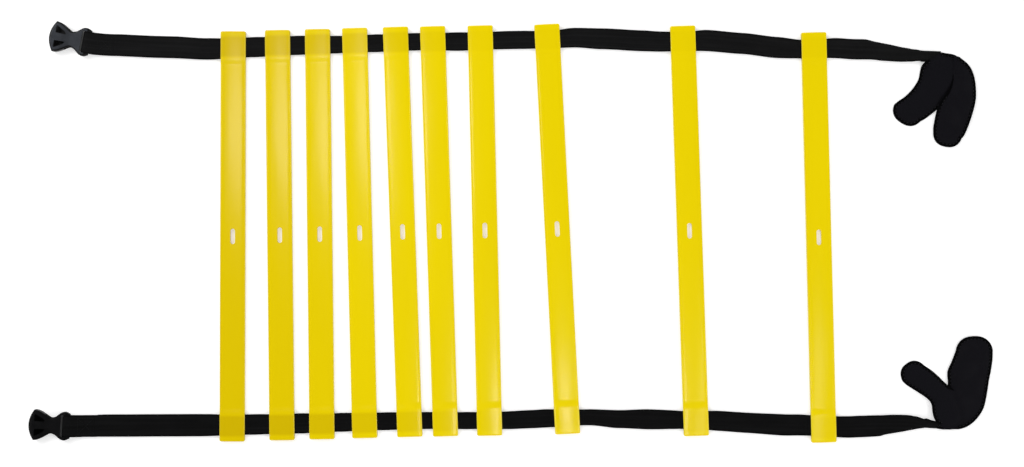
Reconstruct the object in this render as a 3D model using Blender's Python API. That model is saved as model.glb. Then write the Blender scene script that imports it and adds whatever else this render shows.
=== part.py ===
"""An agility ladder, lying flat: ten moulded rungs that slide on two runs of webbing.

Metres, +Z up. +X runs along the webbing, from the buckles to the padded tabs. +Y runs along the
rungs, from the lower strap to the upper one. The origin is under the middle of the ladder.
"""

import math

import bmesh
import bpy
from mathutils import Matrix, Vector

# Rungs
RUNG_LENGTH = 0.500
RUNG_WIDTH = 0.030
RUNG_CORNER_RADIUS = 0.0026
RUNG_EDGE_RADIUS = 0.0009
RUNG_CROWN = 0.0004
END_PAD_LENGTH = 0.0325
END_PAD_RISE = 0.0011
END_PAD_RAMP = 0.0016
TUNNEL_FLOOR = 0.0014
TUNNEL_ROOF = 0.0017
TUNNEL_SIDE_PLAY = 0.0025
TUNNEL_HEAD_PLAY = 0.0004
SLOT_LENGTH = 0.0170
SLOT_WIDTH = 0.0050

# Webbing
STRAP_WIDTH = 0.025
STRAP_THICKNESS = 0.0018
STRAP_INSET = 0.0187
TAIL_LENGTH = 0.036
TAIL_APPROACH = 0.012
LOOP_DESCENT = 0.024
LAYER_GAP = 0.0004
FOLD_LENGTH = 0.068
FOLD_BEND_RADIUS = 0.0012

# Where the rungs and the webbing lie
RUNG_SPAN = 0.7166
RUNG_PLACE_SHARES = (0.003, 0.083, 0.151, 0.219, 0.292, 0.354, 0.432, 0.555, 0.780, 1.000)
RUNG_TILT_DEGREES = (-0.2, 0.6, 0.6, 1.4, 2.0, 1.8, 1.3, 2.9, 1.9, 1.4)
# Each pair is a place along the rung span, and a sway as a share of the webbing's width.
UPPER_ROUTE_SHARES = (
    (-0.2463, 0.04), (-0.219, -0.05), (-0.185, -0.09), (-0.123, -0.17), (-0.031, -0.20),
    (0.037, -0.14), (0.148, -0.06), (0.290, 0.06), (0.431, 0.13), (0.552, 0.20), (0.665, 0.18),
    (0.778, 0.10), (0.883, -0.05), (0.977, -0.20), (1.045, -0.27), (1.112, -0.33), (1.184, -0.43),
)
LOWER_ROUTE_SHARES = (
    (-0.2806, -0.15), (-0.232, -0.16), (-0.164, -0.16), (-0.029, -0.16), (0.044, -0.12),
    (0.148, -0.05), (0.290, 0.06), (0.431, 0.12), (0.555, 0.20), (0.665, 0.20), (0.785, 0.12),
    (0.887, -0.04), (0.977, -0.17), (1.045, -0.22), (1.122, -0.20), (1.197, -0.27),
)
UPPER_BUCKLE_YAW_DEGREES = -11.0
LOWER_BUCKLE_YAW_DEGREES = -3.0
UPPER_FOLD_ROLL_DEGREES = 8.0
LOWER_FOLD_ROLL_DEGREES = 48.0
FOLD_DEGREES = 172.0
FOLD_POWER = 1.3

# Buckles, measured from the crossbar towards the mouth
BUCKLE_LENGTH = 0.0442
BUCKLE_HEIGHT = 0.011
BUCKLE_END_HEIGHT = 0.0082
BUCKLE_EDGE_RADIUS = 0.0016
MOUTH_WIDTH = 0.0370
WAIST_WIDTH = 0.0192
SHOULDER_WIDTH = 0.0345
CAVITY_WIDTH = 0.0264
CAVITY_HEIGHT = 0.0064
CAVITY_DEPTH = 0.0335
MOUTH_FLARE = 0.0022
BAR_RADIUS = 0.0020
BAR_PLAY = 0.0004
BAR_GAP = 0.0054
ARM_REACH = 0.0054
ARM_TIP_HEIGHT = 0.0044
BAR_SIDE_PLAY = 0.0007
# The buckle's side, as places along its length and how far it has widened from the waist: first to
# the mouth, then to the shoulder.
MOUTH_SIDE_SHARES = (
    (0.86, 1.00), (0.77, 0.95), (0.67, 0.76), (0.56, 0.44), (0.46, 0.13), (0.39, 0.00),
)
SHOULDER_SIDE_SHARES = ((0.30, 0.14), (0.25, 0.31), (0.17, 0.68), (0.10, 0.93), (0.00, 1.00))
ARM_END_SHARE = 0.70
# A window's corners, as shares of the length and of half the mouth's width.
WINDOW_SHARES = ((0.81, 0.71), (0.81, 0.30), (0.59, 0.30), (0.61, 0.42))
FLARE_START_SHARE = 0.80

# Padded tabs
HOOK_TAB_WIDTH = 0.0430
LOOP_TAB_WIDTH = 0.0330
TAB_THICKNESS = 0.0026
TAB_EDGE_THICKNESS = 0.0014
PATCH_THICKNESS = 0.0010
PATCH_WIDTH = 0.0250
PATCH_LENGTH = 0.0340
PATCH_CORNER_RADIUS = 0.0035
PATCH_SETBACK = 0.0110
SEAT_GAP = 0.0003
# Each row crosses the tab: its outer edge's place ahead of and inward from the webbing's end, then
# its inner edge's, as shares of the tab's width.
UPPER_HOOK_SHARES = (
    (0.87, 0.15, 0.76, 0.12), (1.13, 0.37, 0.75, 0.30), (1.31, 0.65, 0.74, 0.54),
    (1.38, 1.02, 0.70, 0.81), (1.37, 1.39, 0.56, 1.11), (1.27, 1.79, 0.40, 1.39),
    (1.15, 2.14, 0.29, 1.70), (1.06, 2.35, 0.23, 2.10), (0.97, 2.46, 0.23, 2.30),
)
UPPER_LOOP_SHARES = (
    (0.24, 0.00, 0.80, 0.11), (0.00, 0.06, 1.24, 0.35), (0.00, 0.40, 1.37, 0.66),
    (-0.12, 0.58, 1.32, 1.03), (-0.20, 0.83, 1.14, 1.40), (-0.36, 1.22, 0.81, 1.74),
    (-0.68, 1.59, 0.36, 2.09), (-0.95, 1.83, -0.08, 2.48), (-1.03, 1.90, -0.29, 2.60),
)
LOWER_HOOK_SHARES = (
    (0.69, -0.03, 0.21, -0.03), (0.93, 0.05, 0.00, 0.03), (1.17, 0.25, 0.13, 0.25),
    (1.36, 0.55, 0.16, 0.57), (1.46, 0.92, 0.25, 0.90), (1.52, 1.34, 0.41, 1.21),
    (1.59, 1.74, 0.44, 1.53), (1.63, 2.05, 0.54, 1.87), (1.60, 2.29, 0.67, 2.21),
)
LOWER_LOOP_SHARES = (
    (0.34, -0.03, 0.86, -0.04), (0.17, 0.17, 1.02, 0.23), (0.05, 0.49, 1.02, 0.60),
    (-0.04, 0.86, 0.91, 1.01), (-0.23, 1.15, 0.73, 1.38), (-0.63, 1.38, 0.39, 1.64),
    (-0.90, 1.58, -0.07, 2.05), (-1.05, 1.71, -0.42, 2.29),
)
# The seam that a tab folds up along, as two places ahead of and inward from the webbing's end.
UPPER_HOOK_SEAM_SHARES = ((0.90, 0.10), (1.40, 0.67))
LOWER_LOOP_SEAM_SHARES = ((0.34, -0.05), (0.86, -0.05))
UPPER_HOOK_TIP_SHARE = 0.82
UPPER_LOOP_TIP_SHARE = 0.92
LOWER_HOOK_TIP_SHARE = 0.73
LOWER_LOOP_TIP_SHARE = 0.95
TAB_TIP_START_DEGREES = 20
TAB_TIP_END_DEGREES = 86
TAB_TIP_STEPS = 5

# Every cut runs past its piece by this much.
OVERRUN = 0.002

# Sizes that follow from the ones above
TUNNEL_HEIGHT = STRAP_THICKNESS + 2 * TUNNEL_HEAD_PLAY
TUNNEL_WIDTH = STRAP_WIDTH + 2 * TUNNEL_SIDE_PLAY
PAD_HEIGHT = TUNNEL_FLOOR + TUNNEL_HEIGHT + TUNNEL_ROOF
RUNG_THICKNESS = PAD_HEIGHT - END_PAD_RISE
STRAP_LINE = RUNG_LENGTH / 2 - STRAP_INSET
RUN_HEIGHT = TUNNEL_FLOOR + TUNNEL_HEIGHT / 2
BAR_HEIGHT = BUCKLE_HEIGHT / 2
LOOP_RADIUS = BAR_RADIUS + BAR_PLAY + STRAP_THICKNESS / 2
BAR_HALF_SPAN = STRAP_WIDTH / 2 + BAR_SIDE_PLAY
PATCH_LIFT = PATCH_THICKNESS + SEAT_GAP
STACK_LIFT = TAB_THICKNESS + SEAT_GAP

LOOP_STEPS = 8
APPROACH_STEPS = 4
DESCENT_STEPS = 6
BEND_STEPS = 4
FOLD_STEPS = 9


def clear_scene():
    for obj in list(bpy.data.objects):
        bpy.data.objects.remove(obj, do_unlink=True)


def make_material(name, colour, roughness, metallic=0.0):
    material = bpy.data.materials.new(name)
    material.use_nodes = True
    shader = material.node_tree.nodes["Principled BSDF"]
    shader.inputs["Base Color"].default_value = (*colour, 1.0)
    shader.inputs["Roughness"].default_value = roughness
    shader.inputs["Metallic"].default_value = metallic
    return material


def add_object(name, mesh, material, parent=None):
    obj = bpy.data.objects.new(name, mesh)
    bpy.context.scene.collection.objects.link(obj)
    if material is not None and not mesh.materials:
        mesh.materials.append(material)
    obj.parent = parent
    return obj


def mesh_of_rings(name, rings):
    """A closed mesh through rings of points, each ring a loop with as many points as the next."""
    mesh = bpy.data.meshes.new(name)
    count = len(rings[0])
    points = [point for ring in rings for point in ring]
    faces = []
    for row in range(len(rings) - 1):
        for step in range(count):
            after = (step + 1) % count
            low, high = row * count, (row + 1) * count
            faces.append((low + step, low + after, high + after, high + step))
    for row in (0, len(rings) - 1):
        first = row * count
        for step in range(count // 2 - 1):
            faces.append((
                first + step,
                first + step + 1,
                first + count - 2 - step,
                first + count - 1 - step,
            ))
    mesh.from_pydata(points, [], faces)
    shape = bmesh.new()
    shape.from_mesh(mesh)
    bmesh.ops.recalc_face_normals(shape, faces=shape.faces)
    shape.to_mesh(mesh)
    shape.free()
    return mesh


def mesh_of_stack(name, loops):
    """A closed mesh through a stack of outlines, flat at both ends."""
    mesh = bpy.data.meshes.new(name)
    count = len(loops[0])
    points = [point for loop in loops for point in loop]
    faces = []
    for row in range(len(loops) - 1):
        for step in range(count):
            after = (step + 1) % count
            low, high = row * count, (row + 1) * count
            faces.append((low + step, low + after, high + after, high + step))
    faces.append(tuple(range(count)))
    faces.append(tuple(range((len(loops) - 1) * count, len(loops) * count)))
    mesh.from_pydata(points, [], faces)
    shape = bmesh.new()
    shape.from_mesh(mesh)
    bmesh.ops.triangulate(shape, faces=[face for face in shape.faces if len(face.verts) > 4])
    bmesh.ops.recalc_face_normals(shape, faces=shape.faces)
    shape.to_mesh(mesh)
    shape.free()
    return mesh


def prism(name, outline, low, high):
    """An upright cutter with this outline between two heights."""
    loops = [[Vector((x, y, height)) for x, y in outline] for height in (low, high)]
    cutter = add_object(name, mesh_of_stack(name, loops), None)
    cutter.hide_render = True
    cutter.display_type = "WIRE"
    return cutter


def box_outline(left, right, near, far):
    return [(left, near), (right, near), (right, far), (left, far)]


def combine(obj, other, operation):
    """Cuts other from obj, or joins it on, and keeps the result as the object's mesh."""
    change = obj.modifiers.new(other.name, "BOOLEAN")
    change.operation = operation
    change.solver = "EXACT"
    change.object = other
    bpy.context.view_layer.update()
    graph = bpy.context.evaluated_depsgraph_get()
    result = bpy.data.meshes.new_from_object(obj.evaluated_get(graph))
    obj.modifiers.clear()
    obj.data = result
    bpy.data.objects.remove(other, do_unlink=True)


def shade_round(mesh, angle_degrees=35.0):
    mesh.shade_smooth()
    mesh.set_sharp_from_angle(angle=math.radians(angle_degrees))


def eased(share):
    """A smooth step from 0 to 1."""
    share = min(max(share, 0.0), 1.0)
    return share * share * (3 - 2 * share)


def lerp(first, last, share):
    return first + (last - first) * share


# Rungs


def rung_section(half_width, top, bottom_edge, crown):
    """Half of a rung's cross-section from the middle of its top to the middle of its underside."""
    edge = min(RUNG_EDGE_RADIUS, half_width / 2)
    points = [(0.0, top)]
    points.append((half_width / 2, top - crown / 4))
    for step in range(3):
        angle = math.radians(90 - 45 * step)
        points.append((
            half_width - edge + edge * math.cos(angle),
            top - crown - edge + edge * math.sin(angle),
        ))
    points.append((half_width, bottom_edge))
    points.append((half_width - bottom_edge, 0.0))
    return points


def rung_ring(place, half_width, top):
    half = rung_section(half_width, top, RUNG_EDGE_RADIUS / 2, RUNG_CROWN)
    ring = [Vector((x, place, z)) for x, z in half]
    ring += [Vector((-x, place, z)) for x, z in reversed(half[1:])]
    return ring


def rung_stations():
    """Places along half a rung, from its middle to its end, with the half width and the top there."""
    half_length = RUNG_LENGTH / 2
    pad_start = half_length - END_PAD_LENGTH
    full = RUNG_WIDTH / 2
    stations = [(0.0, full, RUNG_THICKNESS)]
    stations.append((pad_start - END_PAD_RAMP, full, RUNG_THICKNESS))
    stations.append((pad_start, full, PAD_HEIGHT))
    for step in range(4):
        angle = math.radians(30 * step)
        reach = half_length - RUNG_CORNER_RADIUS + RUNG_CORNER_RADIUS * math.sin(angle)
        inset = RUNG_CORNER_RADIUS * (1 - math.cos(angle))
        droop = RUNG_EDGE_RADIUS * (1 - math.cos(angle))
        stations.append((reach, full - inset, PAD_HEIGHT - droop))
    return stations


def make_rung_mesh(material):
    """One rung, lying along Y with its underside on the ground."""
    half = rung_stations()
    stations = [(-place, width, top) for place, width, top in reversed(half[1:])] + half
    body = add_object(
        "rung_blank",
        mesh_of_stack("rung_blank", [rung_ring(*station) for station in stations]),
        material,
    )
    for side in (-1, 1):
        middle = side * STRAP_LINE
        outline = box_outline(
            -RUNG_WIDTH / 2 - OVERRUN,
            RUNG_WIDTH / 2 + OVERRUN,
            middle - TUNNEL_WIDTH / 2,
            middle + TUNNEL_WIDTH / 2,
        )
        tunnel = prism("tunnel", outline, TUNNEL_FLOOR, TUNNEL_FLOOR + TUNNEL_HEIGHT)
        combine(body, tunnel, "DIFFERENCE")
    straight = (SLOT_LENGTH - SLOT_WIDTH) / 2
    outline = []
    for end, start_angle in ((1, 0), (-1, 180)):
        for step in range(7):
            angle = math.radians(start_angle + 30 * step)
            outline.append((
                SLOT_WIDTH / 2 * math.cos(angle),
                end * straight + SLOT_WIDTH / 2 * math.sin(angle),
            ))
    combine(body, prism("slot", outline, -OVERRUN, PAD_HEIGHT + OVERRUN), "DIFFERENCE")
    mesh = body.data
    bpy.data.objects.remove(body, do_unlink=True)
    shade_round(mesh)
    return mesh


# Webbing


def hermite(points, place, first_slope):
    """The height of a smooth curve through the points at a place, and its slope there."""
    slopes = [first_slope]
    for before, after in zip(points[:-2], points[2:]):
        slopes.append((after[1] - before[1]) / (after[0] - before[0]))
    slopes.append((points[-1][1] - points[-2][1]) / (points[-1][0] - points[-2][0]))
    index = 0
    while index < len(points) - 2 and place > points[index + 1][0]:
        index += 1
    (x0, y0), (x1, y1) = points[index], points[index + 1]
    width = x1 - x0
    t = (place - x0) / width
    m0, m1 = slopes[index] * width, slopes[index + 1] * width
    height = (
        (2 * t**3 - 3 * t**2 + 1) * y0
        + (t**3 - 2 * t**2 + t) * m0
        + (3 * t**2 - 2 * t**3) * y1
        + (t**3 - t**2) * m1
    )
    rise = (6 * t**2 - 6 * t) * (y0 - y1) + (3 * t**2 - 4 * t + 1) * m0 + (3 * t**2 - 2 * t) * m1
    return height, rise / width


class Route:
    """The middle line of one strap, seen from above, from its buckle's bar to its tab."""

    def __init__(self, side, shares, yaw_degrees):
        self.side = side
        self.points = [
            (along * RUNG_SPAN, side * STRAP_LINE + sway * STRAP_WIDTH) for along, sway in shares
        ]
        self.first_slope = math.tan(math.radians(yaw_degrees))
        self.first_heading = Vector((1.0, self.first_slope, 0.0)).normalized()
        self.bar = Vector((*self.points[0], 0.0))
        self.end = self.points[-1][0]

    def at(self, place):
        """The point at a place along X, and the unit direction there."""
        y, slope = hermite(self.points, place, self.first_slope)
        return Vector((place, y, 0.0)), Vector((1.0, slope, 0.0)).normalized()


def fold_profile(turn):
    """Middle line of the webbing's cross-section with its outer half turned up by an angle.

    Returns places across, heights and the section's own angle at each, from the inner edge to the
    outer one. The bend is centred on the webbing's middle.
    """
    bend_length = math.pi * FOLD_BEND_RADIUS
    half = STRAP_WIDTH / 2
    flat = half - bend_length / 2
    lengths = [0.0, flat / 2, flat]
    lengths += [flat + bend_length * (step + 1) / BEND_STEPS for step in range(BEND_STEPS)]
    lengths += [flat + bend_length + flat / 2, STRAP_WIDTH]
    angles = [turn * min(max((length - flat) / bend_length, 0.0), 1.0) for length in lengths]
    across, height = -half, 0.0
    points = [(across, height, angles[0])]
    for index in range(1, len(lengths)):
        step = lengths[index] - lengths[index - 1]
        middle = (angles[index] + angles[index - 1]) / 2
        across += step * math.cos(middle)
        height += step * math.sin(middle)
        points.append((across, height, angles[index]))
    return points


def strap_ring(centre, up, outward, turn, roll):
    """One closed loop round the webbing's cross-section."""
    profile = fold_profile(turn)
    top, bottom = [], []
    for across, height, angle in profile:
        turned_across = across * math.cos(roll) - height * math.sin(roll)
        turned_height = height * math.cos(roll) + across * math.sin(roll)
        middle = centre + outward * turned_across + up * turned_height
        normal = -outward * math.sin(angle + roll) + up * math.cos(angle + roll)
        top.append(middle + normal * (STRAP_THICKNESS / 2))
        bottom.append(middle - normal * (STRAP_THICKNESS / 2))
    return top + bottom[::-1]


def loop_path():
    """Distances from the bar and heights of the webbing's middle, from its sewn tail to the run."""
    tail_height = STRAP_THICKNESS / 2
    over_tail = tail_height + STRAP_THICKNESS + LAYER_GAP
    low, high = BAR_HEIGHT - LOOP_RADIUS, BAR_HEIGHT + LOOP_RADIUS
    path = [(TAIL_LENGTH, tail_height), (lerp(TAIL_APPROACH, TAIL_LENGTH, 0.5), tail_height)]
    for step in range(APPROACH_STEPS):
        share = step / APPROACH_STEPS
        path.append((TAIL_APPROACH * (1 - share), lerp(tail_height, low, eased(share))))
    for step in range(LOOP_STEPS + 1):
        angle = math.radians(-90 - 180 * step / LOOP_STEPS)
        path.append((LOOP_RADIUS * math.cos(angle), BAR_HEIGHT + LOOP_RADIUS * math.sin(angle)))
    for step in range(1, DESCENT_STEPS + 1):
        share = step / DESCENT_STEPS
        path.append((LOOP_DESCENT * share, lerp(high, over_tail, eased(share))))
    path.append((TAIL_LENGTH + LAYER_GAP, over_tail))
    return path


def strap_stations(route, roll_degrees):
    """Centre, direction across and up, fold angle and roll of each cross-section of a strap."""
    heading = route.first_heading
    stations = []
    path = loop_path()
    for index, (distance, height) in enumerate(path):
        before = path[max(index - 1, 0)]
        after = path[min(index + 1, len(path) - 1)]
        pitch = Vector((after[0] - before[0], after[1] - before[1])).normalized()
        if distance > LOOP_RADIUS:
            point, direction = route.at(route.bar.x + distance * heading.x)
        else:
            point, direction = route.bar + heading * distance, heading
        centre = Vector((point.x, point.y, height))
        up = Vector((0, 0, pitch.x)) - direction * pitch.y
        stations.append((centre, direction, up, 0.0, 0.0))
    flat_start = route.bar.x + path[-1][0] * heading.x + STRAP_WIDTH / 2
    fold_start = route.end - FOLD_LENGTH
    places = [x for x, _ in route.points if flat_start < x < fold_start]
    upright = Vector((0, 0, 1))
    for place in [flat_start] + places + [fold_start]:
        point, direction = route.at(place)
        point.z = RUN_HEIGHT
        stations.append((point, direction, upright, 0.0, 0.0))
    for step in range(1, FOLD_STEPS + 1):
        share = step / FOLD_STEPS
        point, direction = route.at(lerp(fold_start, route.end, share))
        point.z = RUN_HEIGHT - FOLD_BEND_RADIUS * eased(share)
        turn = math.radians(FOLD_DEGREES) * share**FOLD_POWER
        roll = -math.radians(roll_degrees) * max(2 * share - 1, 0.0)
        stations.append((point, direction, upright, turn, roll))
    return stations


def make_strap(name, route, roll_degrees, material, parent):
    rings = []
    for centre, direction, up, turn, roll in strap_stations(route, roll_degrees):
        outward = Vector((-direction.y, direction.x, 0.0)) * route.side
        rings.append(strap_ring(centre, up, outward, turn, roll))
    mesh = mesh_of_rings(name, rings)
    shade_round(mesh, 50.0)
    return add_object(name, mesh, material, parent)


# Buckles


def smooth_through(points, steps):
    """A Catmull-Rom curve through the points, with this many steps between each two."""
    out = []
    for index in range(len(points) - 1):
        p0 = points[max(index - 1, 0)]
        p1, p2 = points[index], points[index + 1]
        p3 = points[min(index + 2, len(points) - 1)]
        for step in range(steps):
            t = step / steps
            out.append(tuple(
                0.5 * (2 * b + (c - a) * t + (2 * a - 5 * b + 4 * c - d) * t**2
                       + (3 * b - a - 3 * c + d) * t**3)
                for a, b, c, d in zip(p0, p1, p2, p3)
            ))
    out.append(tuple(points[-1]))
    return out


def buckle_half_outline():
    """Half of the buckle's outline from the middle of its mouth to its end, mouth towards -X."""
    mouth, waist, shoulder = MOUTH_WIDTH / 2, WAIST_WIDTH / 2, SHOULDER_WIDTH / 2
    side = [
        (-along * BUCKLE_LENGTH, lerp(waist, widest, widening))
        for shares, widest in ((MOUTH_SIDE_SHARES, mouth), (SHOULDER_SIDE_SHARES, shoulder))
        for along, widening in shares
    ]
    side.append((ARM_REACH, lerp(waist, shoulder, ARM_END_SHARE)))
    corner_x, corner_y = side[0]
    points = []
    for step in range(4):
        share = step / 4
        points.append((lerp(-BUCKLE_LENGTH, corner_x, share**2), corner_y * share))
    return points + smooth_through(side, 3)


def outline_normals(points):
    """The outward direction at each point of an outline that runs anticlockwise."""
    normals = []
    for index, point in enumerate(points):
        before, after = points[index - 1], points[(index + 1) % len(points)]
        first = Vector((point[0] - before[0], point[1] - before[1])).normalized()
        second = Vector((after[0] - point[0], after[1] - point[1])).normalized()
        middle = first + second
        normals.append(Vector((middle.y, -middle.x)).normalized())
    return normals


def buckle_loops():
    """The buckle's outline from its underside to its top, with rounded edges."""
    half_outline = buckle_half_outline()
    points = [(x, -y) for x, y in half_outline] + half_outline[:0:-1]
    normals = outline_normals(points)
    loops = []
    for side, angles in ((-1, (0, 45, 90)), (1, (90, 45, 0))):
        for angle in angles:
            inset = BUCKLE_EDGE_RADIUS * (1 - math.sin(math.radians(angle)))
            drop = BUCKLE_EDGE_RADIUS * (1 - math.cos(math.radians(angle)))
            loop = []
            for (x, y), normal in zip(points, normals):
                share = min(max(-x / BUCKLE_LENGTH, 0.0), 1.0)
                height = lerp(BUCKLE_END_HEIGHT, BUCKLE_HEIGHT, eased(share))
                past_bar = max(x / ARM_REACH, 0.0)
                height = lerp(height, ARM_TIP_HEIGHT, past_bar**2)
                loop.append(Vector((
                    x - normal.x * inset,
                    y - normal.y * inset,
                    side * (height / 2 - drop),
                )))
            loops.append(loop)
    return loops


def make_buckle_mesh(material):
    """The socket half of a side-release buckle: crossbar at the origin, mouth towards -X."""
    body = add_object("buckle_blank", mesh_of_stack("buckle_blank", buckle_loops()), material)
    half_width, half_height = CAVITY_WIDTH / 2, CAVITY_HEIGHT / 2
    cut = BUCKLE_HEIGHT / 2 + OVERRUN
    back = -(BUCKLE_LENGTH - CAVITY_DEPTH)
    cavity_outline = [
        (back, -half_width),
        (back, half_width),
        (-FLARE_START_SHARE * BUCKLE_LENGTH, half_width),
        (-BUCKLE_LENGTH - OVERRUN, half_width + MOUTH_FLARE),
        (-BUCKLE_LENGTH - OVERRUN, -half_width - MOUTH_FLARE),
        (-FLARE_START_SHARE * BUCKLE_LENGTH, -half_width),
    ]
    cavity = prism("cavity", cavity_outline, -half_height, half_height)
    combine(body, cavity, "DIFFERENCE")
    for side in (-1, 1):
        window = [
            (-along * BUCKLE_LENGTH, side * across * MOUTH_WIDTH / 2)
            for along, across in WINDOW_SHARES
        ]
        combine(body, prism("window", window, 0.0, cut), "DIFFERENCE")
    gap = box_outline(-BAR_GAP, ARM_REACH + OVERRUN, -BAR_HALF_SPAN, BAR_HALF_SPAN)
    combine(body, prism("bar_gap", gap, -cut, cut), "DIFFERENCE")
    rings = []
    for end in (-1, 1):
        reach = BAR_HALF_SPAN + (SHOULDER_WIDTH / 2 - BAR_HALF_SPAN) / 2
        ring = []
        for step in range(12):
            angle = math.radians(30 * step)
            ring.append(Vector((
                BAR_RADIUS * math.cos(angle),
                end * reach,
                BAR_RADIUS * math.sin(angle),
            )))
        rings.append(ring)
    bar = add_object("bar", mesh_of_stack("bar", rings), None)
    combine(body, bar, "UNION")
    mesh = body.data
    bpy.data.objects.remove(body, do_unlink=True)
    shade_round(mesh)
    return mesh


def place_buckle(name, mesh, route, yaw_degrees, parent):
    buckle = add_object(name, mesh, None, parent)
    lift = Matrix.Translation(route.bar + Vector((0, 0, BAR_HEIGHT)))
    buckle.matrix_world = lift @ Matrix.Rotation(math.radians(yaw_degrees), 4, "Z")
    return buckle


# Padded tabs


def from_strap_end(route, ahead, inward):
    """A place on the ground, ahead of a strap's end and in towards the ladder's middle."""
    end = route.at(route.end)[0]
    return Vector((end.x + SEAT_GAP + ahead, end.y - route.side * inward, 0.0))


def crease_seam(route):
    """Two points along the outside of a strap's folded end, halfway up it."""
    end, heading = route.at(route.end)
    end.z = RUN_HEIGHT
    outward = Vector((-heading.y, heading.x, 0.0)) * route.side
    start = end + outward * (FOLD_BEND_RADIUS + STRAP_THICKNESS / 2)
    return start, start + heading * LOOP_TAB_WIDTH


def tab_seam(route, shares, width, lift):
    """Two points along the seam that joins one tab to the tab below it."""
    points = [from_strap_end(route, ahead * width, inward * width) for ahead, inward in shares]
    return [point + Vector((0, 0, lift)) for point in points]


def tab_rows(route, shares, width, tip_share, root_lift, free_lift, settle=(0.6, 0.95)):
    """Rows across a tab: its outer and inner edge points and its underside's height.

    The underside drops from its height at the root to its height at the free end between two
    shares of the tab's length. The last rows round the free end off.
    """
    rows = []
    for outer_ahead, outer_in, inner_ahead, inner_in in shares:
        outer = from_strap_end(route, outer_ahead * width, outer_in * width)
        inner = from_strap_end(route, inner_ahead * width, inner_in * width)
        rows.append((*outer.xy, *inner.xy))
    rows = smooth_through(rows, 2)
    out = []
    for index, row in enumerate(rows):
        share = index / (len(rows) - 1)
        settled = eased((share - settle[0]) / (settle[1] - settle[0]))
        outer, inner = Vector(row[:2]), Vector(row[2:])
        out.append((outer, inner, lerp(root_lift, free_lift, settled)))
    outer, inner, lift = out[-1]
    middle, across = (outer + inner) / 2, (inner - outer) / 2
    start = math.radians(TAB_TIP_START_DEGREES)
    ahead = Vector((across.y, -across.x)) * tip_share / (1 - math.sin(start))
    if ahead.dot(middle - (out[-2][0] + out[-2][1]) / 2) < 0:
        ahead = -ahead
    for step in range(1, TAB_TIP_STEPS + 1):
        angle = lerp(start, math.radians(TAB_TIP_END_DEGREES), step / TAB_TIP_STEPS)
        centre = middle + ahead * (math.sin(angle) - math.sin(start))
        reach = across * math.cos(angle) / math.cos(start)
        out.append((centre - reach, centre + reach, lift))
    return out


def move_origin(obj, point):
    """Puts an object's origin at a point, and leaves its shape where it is."""
    obj.data.transform(Matrix.Translation(-point))
    obj.location = point
    return obj


def make_tab(name, rows, seam, material, parent):
    """A padded band with a crowned top and thinner, bound edges, its origin on its seam."""
    rings = []
    across_shares = (0.0, 0.07, 0.27, 0.5, 0.73, 0.93, 1.0)
    for outer, inner, underside in rows:
        top, bottom = [], []
        for share in across_shares:
            fullness = 1 - abs(2 * share - 1) ** 4
            thickness = lerp(TAB_EDGE_THICKNESS, TAB_THICKNESS, fullness)
            place = outer.lerp(inner, share)
            top.append(Vector((place.x, place.y, underside + thickness)))
            bottom.append(Vector((place.x, place.y, underside)))
        rings.append(top + bottom[::-1])
    mesh = mesh_of_rings(name, rings)
    shade_round(mesh, 40.0)
    return move_origin(add_object(name, mesh, material, parent), seam[0])


def make_patch(name, rows, seam, material, parent):
    """The hook tape under a hook tab's free end."""
    last, back = rows[-TAB_TIP_STEPS - 1], rows[-TAB_TIP_STEPS - 7]
    last_middle, back_middle = (last[0] + last[1]) / 2, (back[0] + back[1]) / 2
    direction = (last_middle - back_middle).normalized()
    middle = last_middle - direction * PATCH_SETBACK
    normal = Vector((-direction.y, direction.x))
    outline = []
    for ahead, across, turn in ((1, 1, 0), (-1, 1, 90), (-1, -1, 180), (1, -1, 270)):
        centre = Vector((
            ahead * (PATCH_LENGTH / 2 - PATCH_CORNER_RADIUS),
            across * (PATCH_WIDTH / 2 - PATCH_CORNER_RADIUS),
        ))
        for step in range(4):
            angle = math.radians(turn + 30 * step)
            local = centre + Vector((math.cos(angle), math.sin(angle))) * PATCH_CORNER_RADIUS
            outline.append(middle + direction * local.x + normal * local.y)
    loops = [[Vector((p.x, p.y, z)) for p in outline] for z in (0.0, PATCH_THICKNESS)]
    patch = add_object(name, mesh_of_stack(name, loops), material, parent)
    return move_origin(patch, seam[0])


def rung_pose(place_share, tilt_degrees, upper, lower):
    """Where a rung lies: halfway between the straps where it crosses them."""
    tilt = math.radians(tilt_degrees)
    middle = place_share * RUNG_SPAN
    reach = STRAP_LINE * math.sin(tilt)
    high = upper.at(middle - reach)[0].y
    low = lower.at(middle + reach)[0].y
    return Matrix.Translation((middle, (high + low) / 2, 0.0)) @ Matrix.Rotation(tilt, 4, "Z")


def centre_on_ground(holder):
    """Moves the ladder so that the origin is under the middle of its box."""
    bpy.context.view_layer.update()
    corners = [
        obj.matrix_world @ Vector(corner)
        for obj in bpy.data.objects
        if obj.type == "MESH" and not obj.hide_render
        for corner in (vertex.co for vertex in obj.data.vertices)
    ]
    for axis in (0, 1):
        values = [corner[axis] for corner in corners]
        holder.location[axis] = -(min(values) + max(values)) / 2
    holder.location.z = -min(corner.z for corner in corners)
    bpy.context.view_layer.update()


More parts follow.
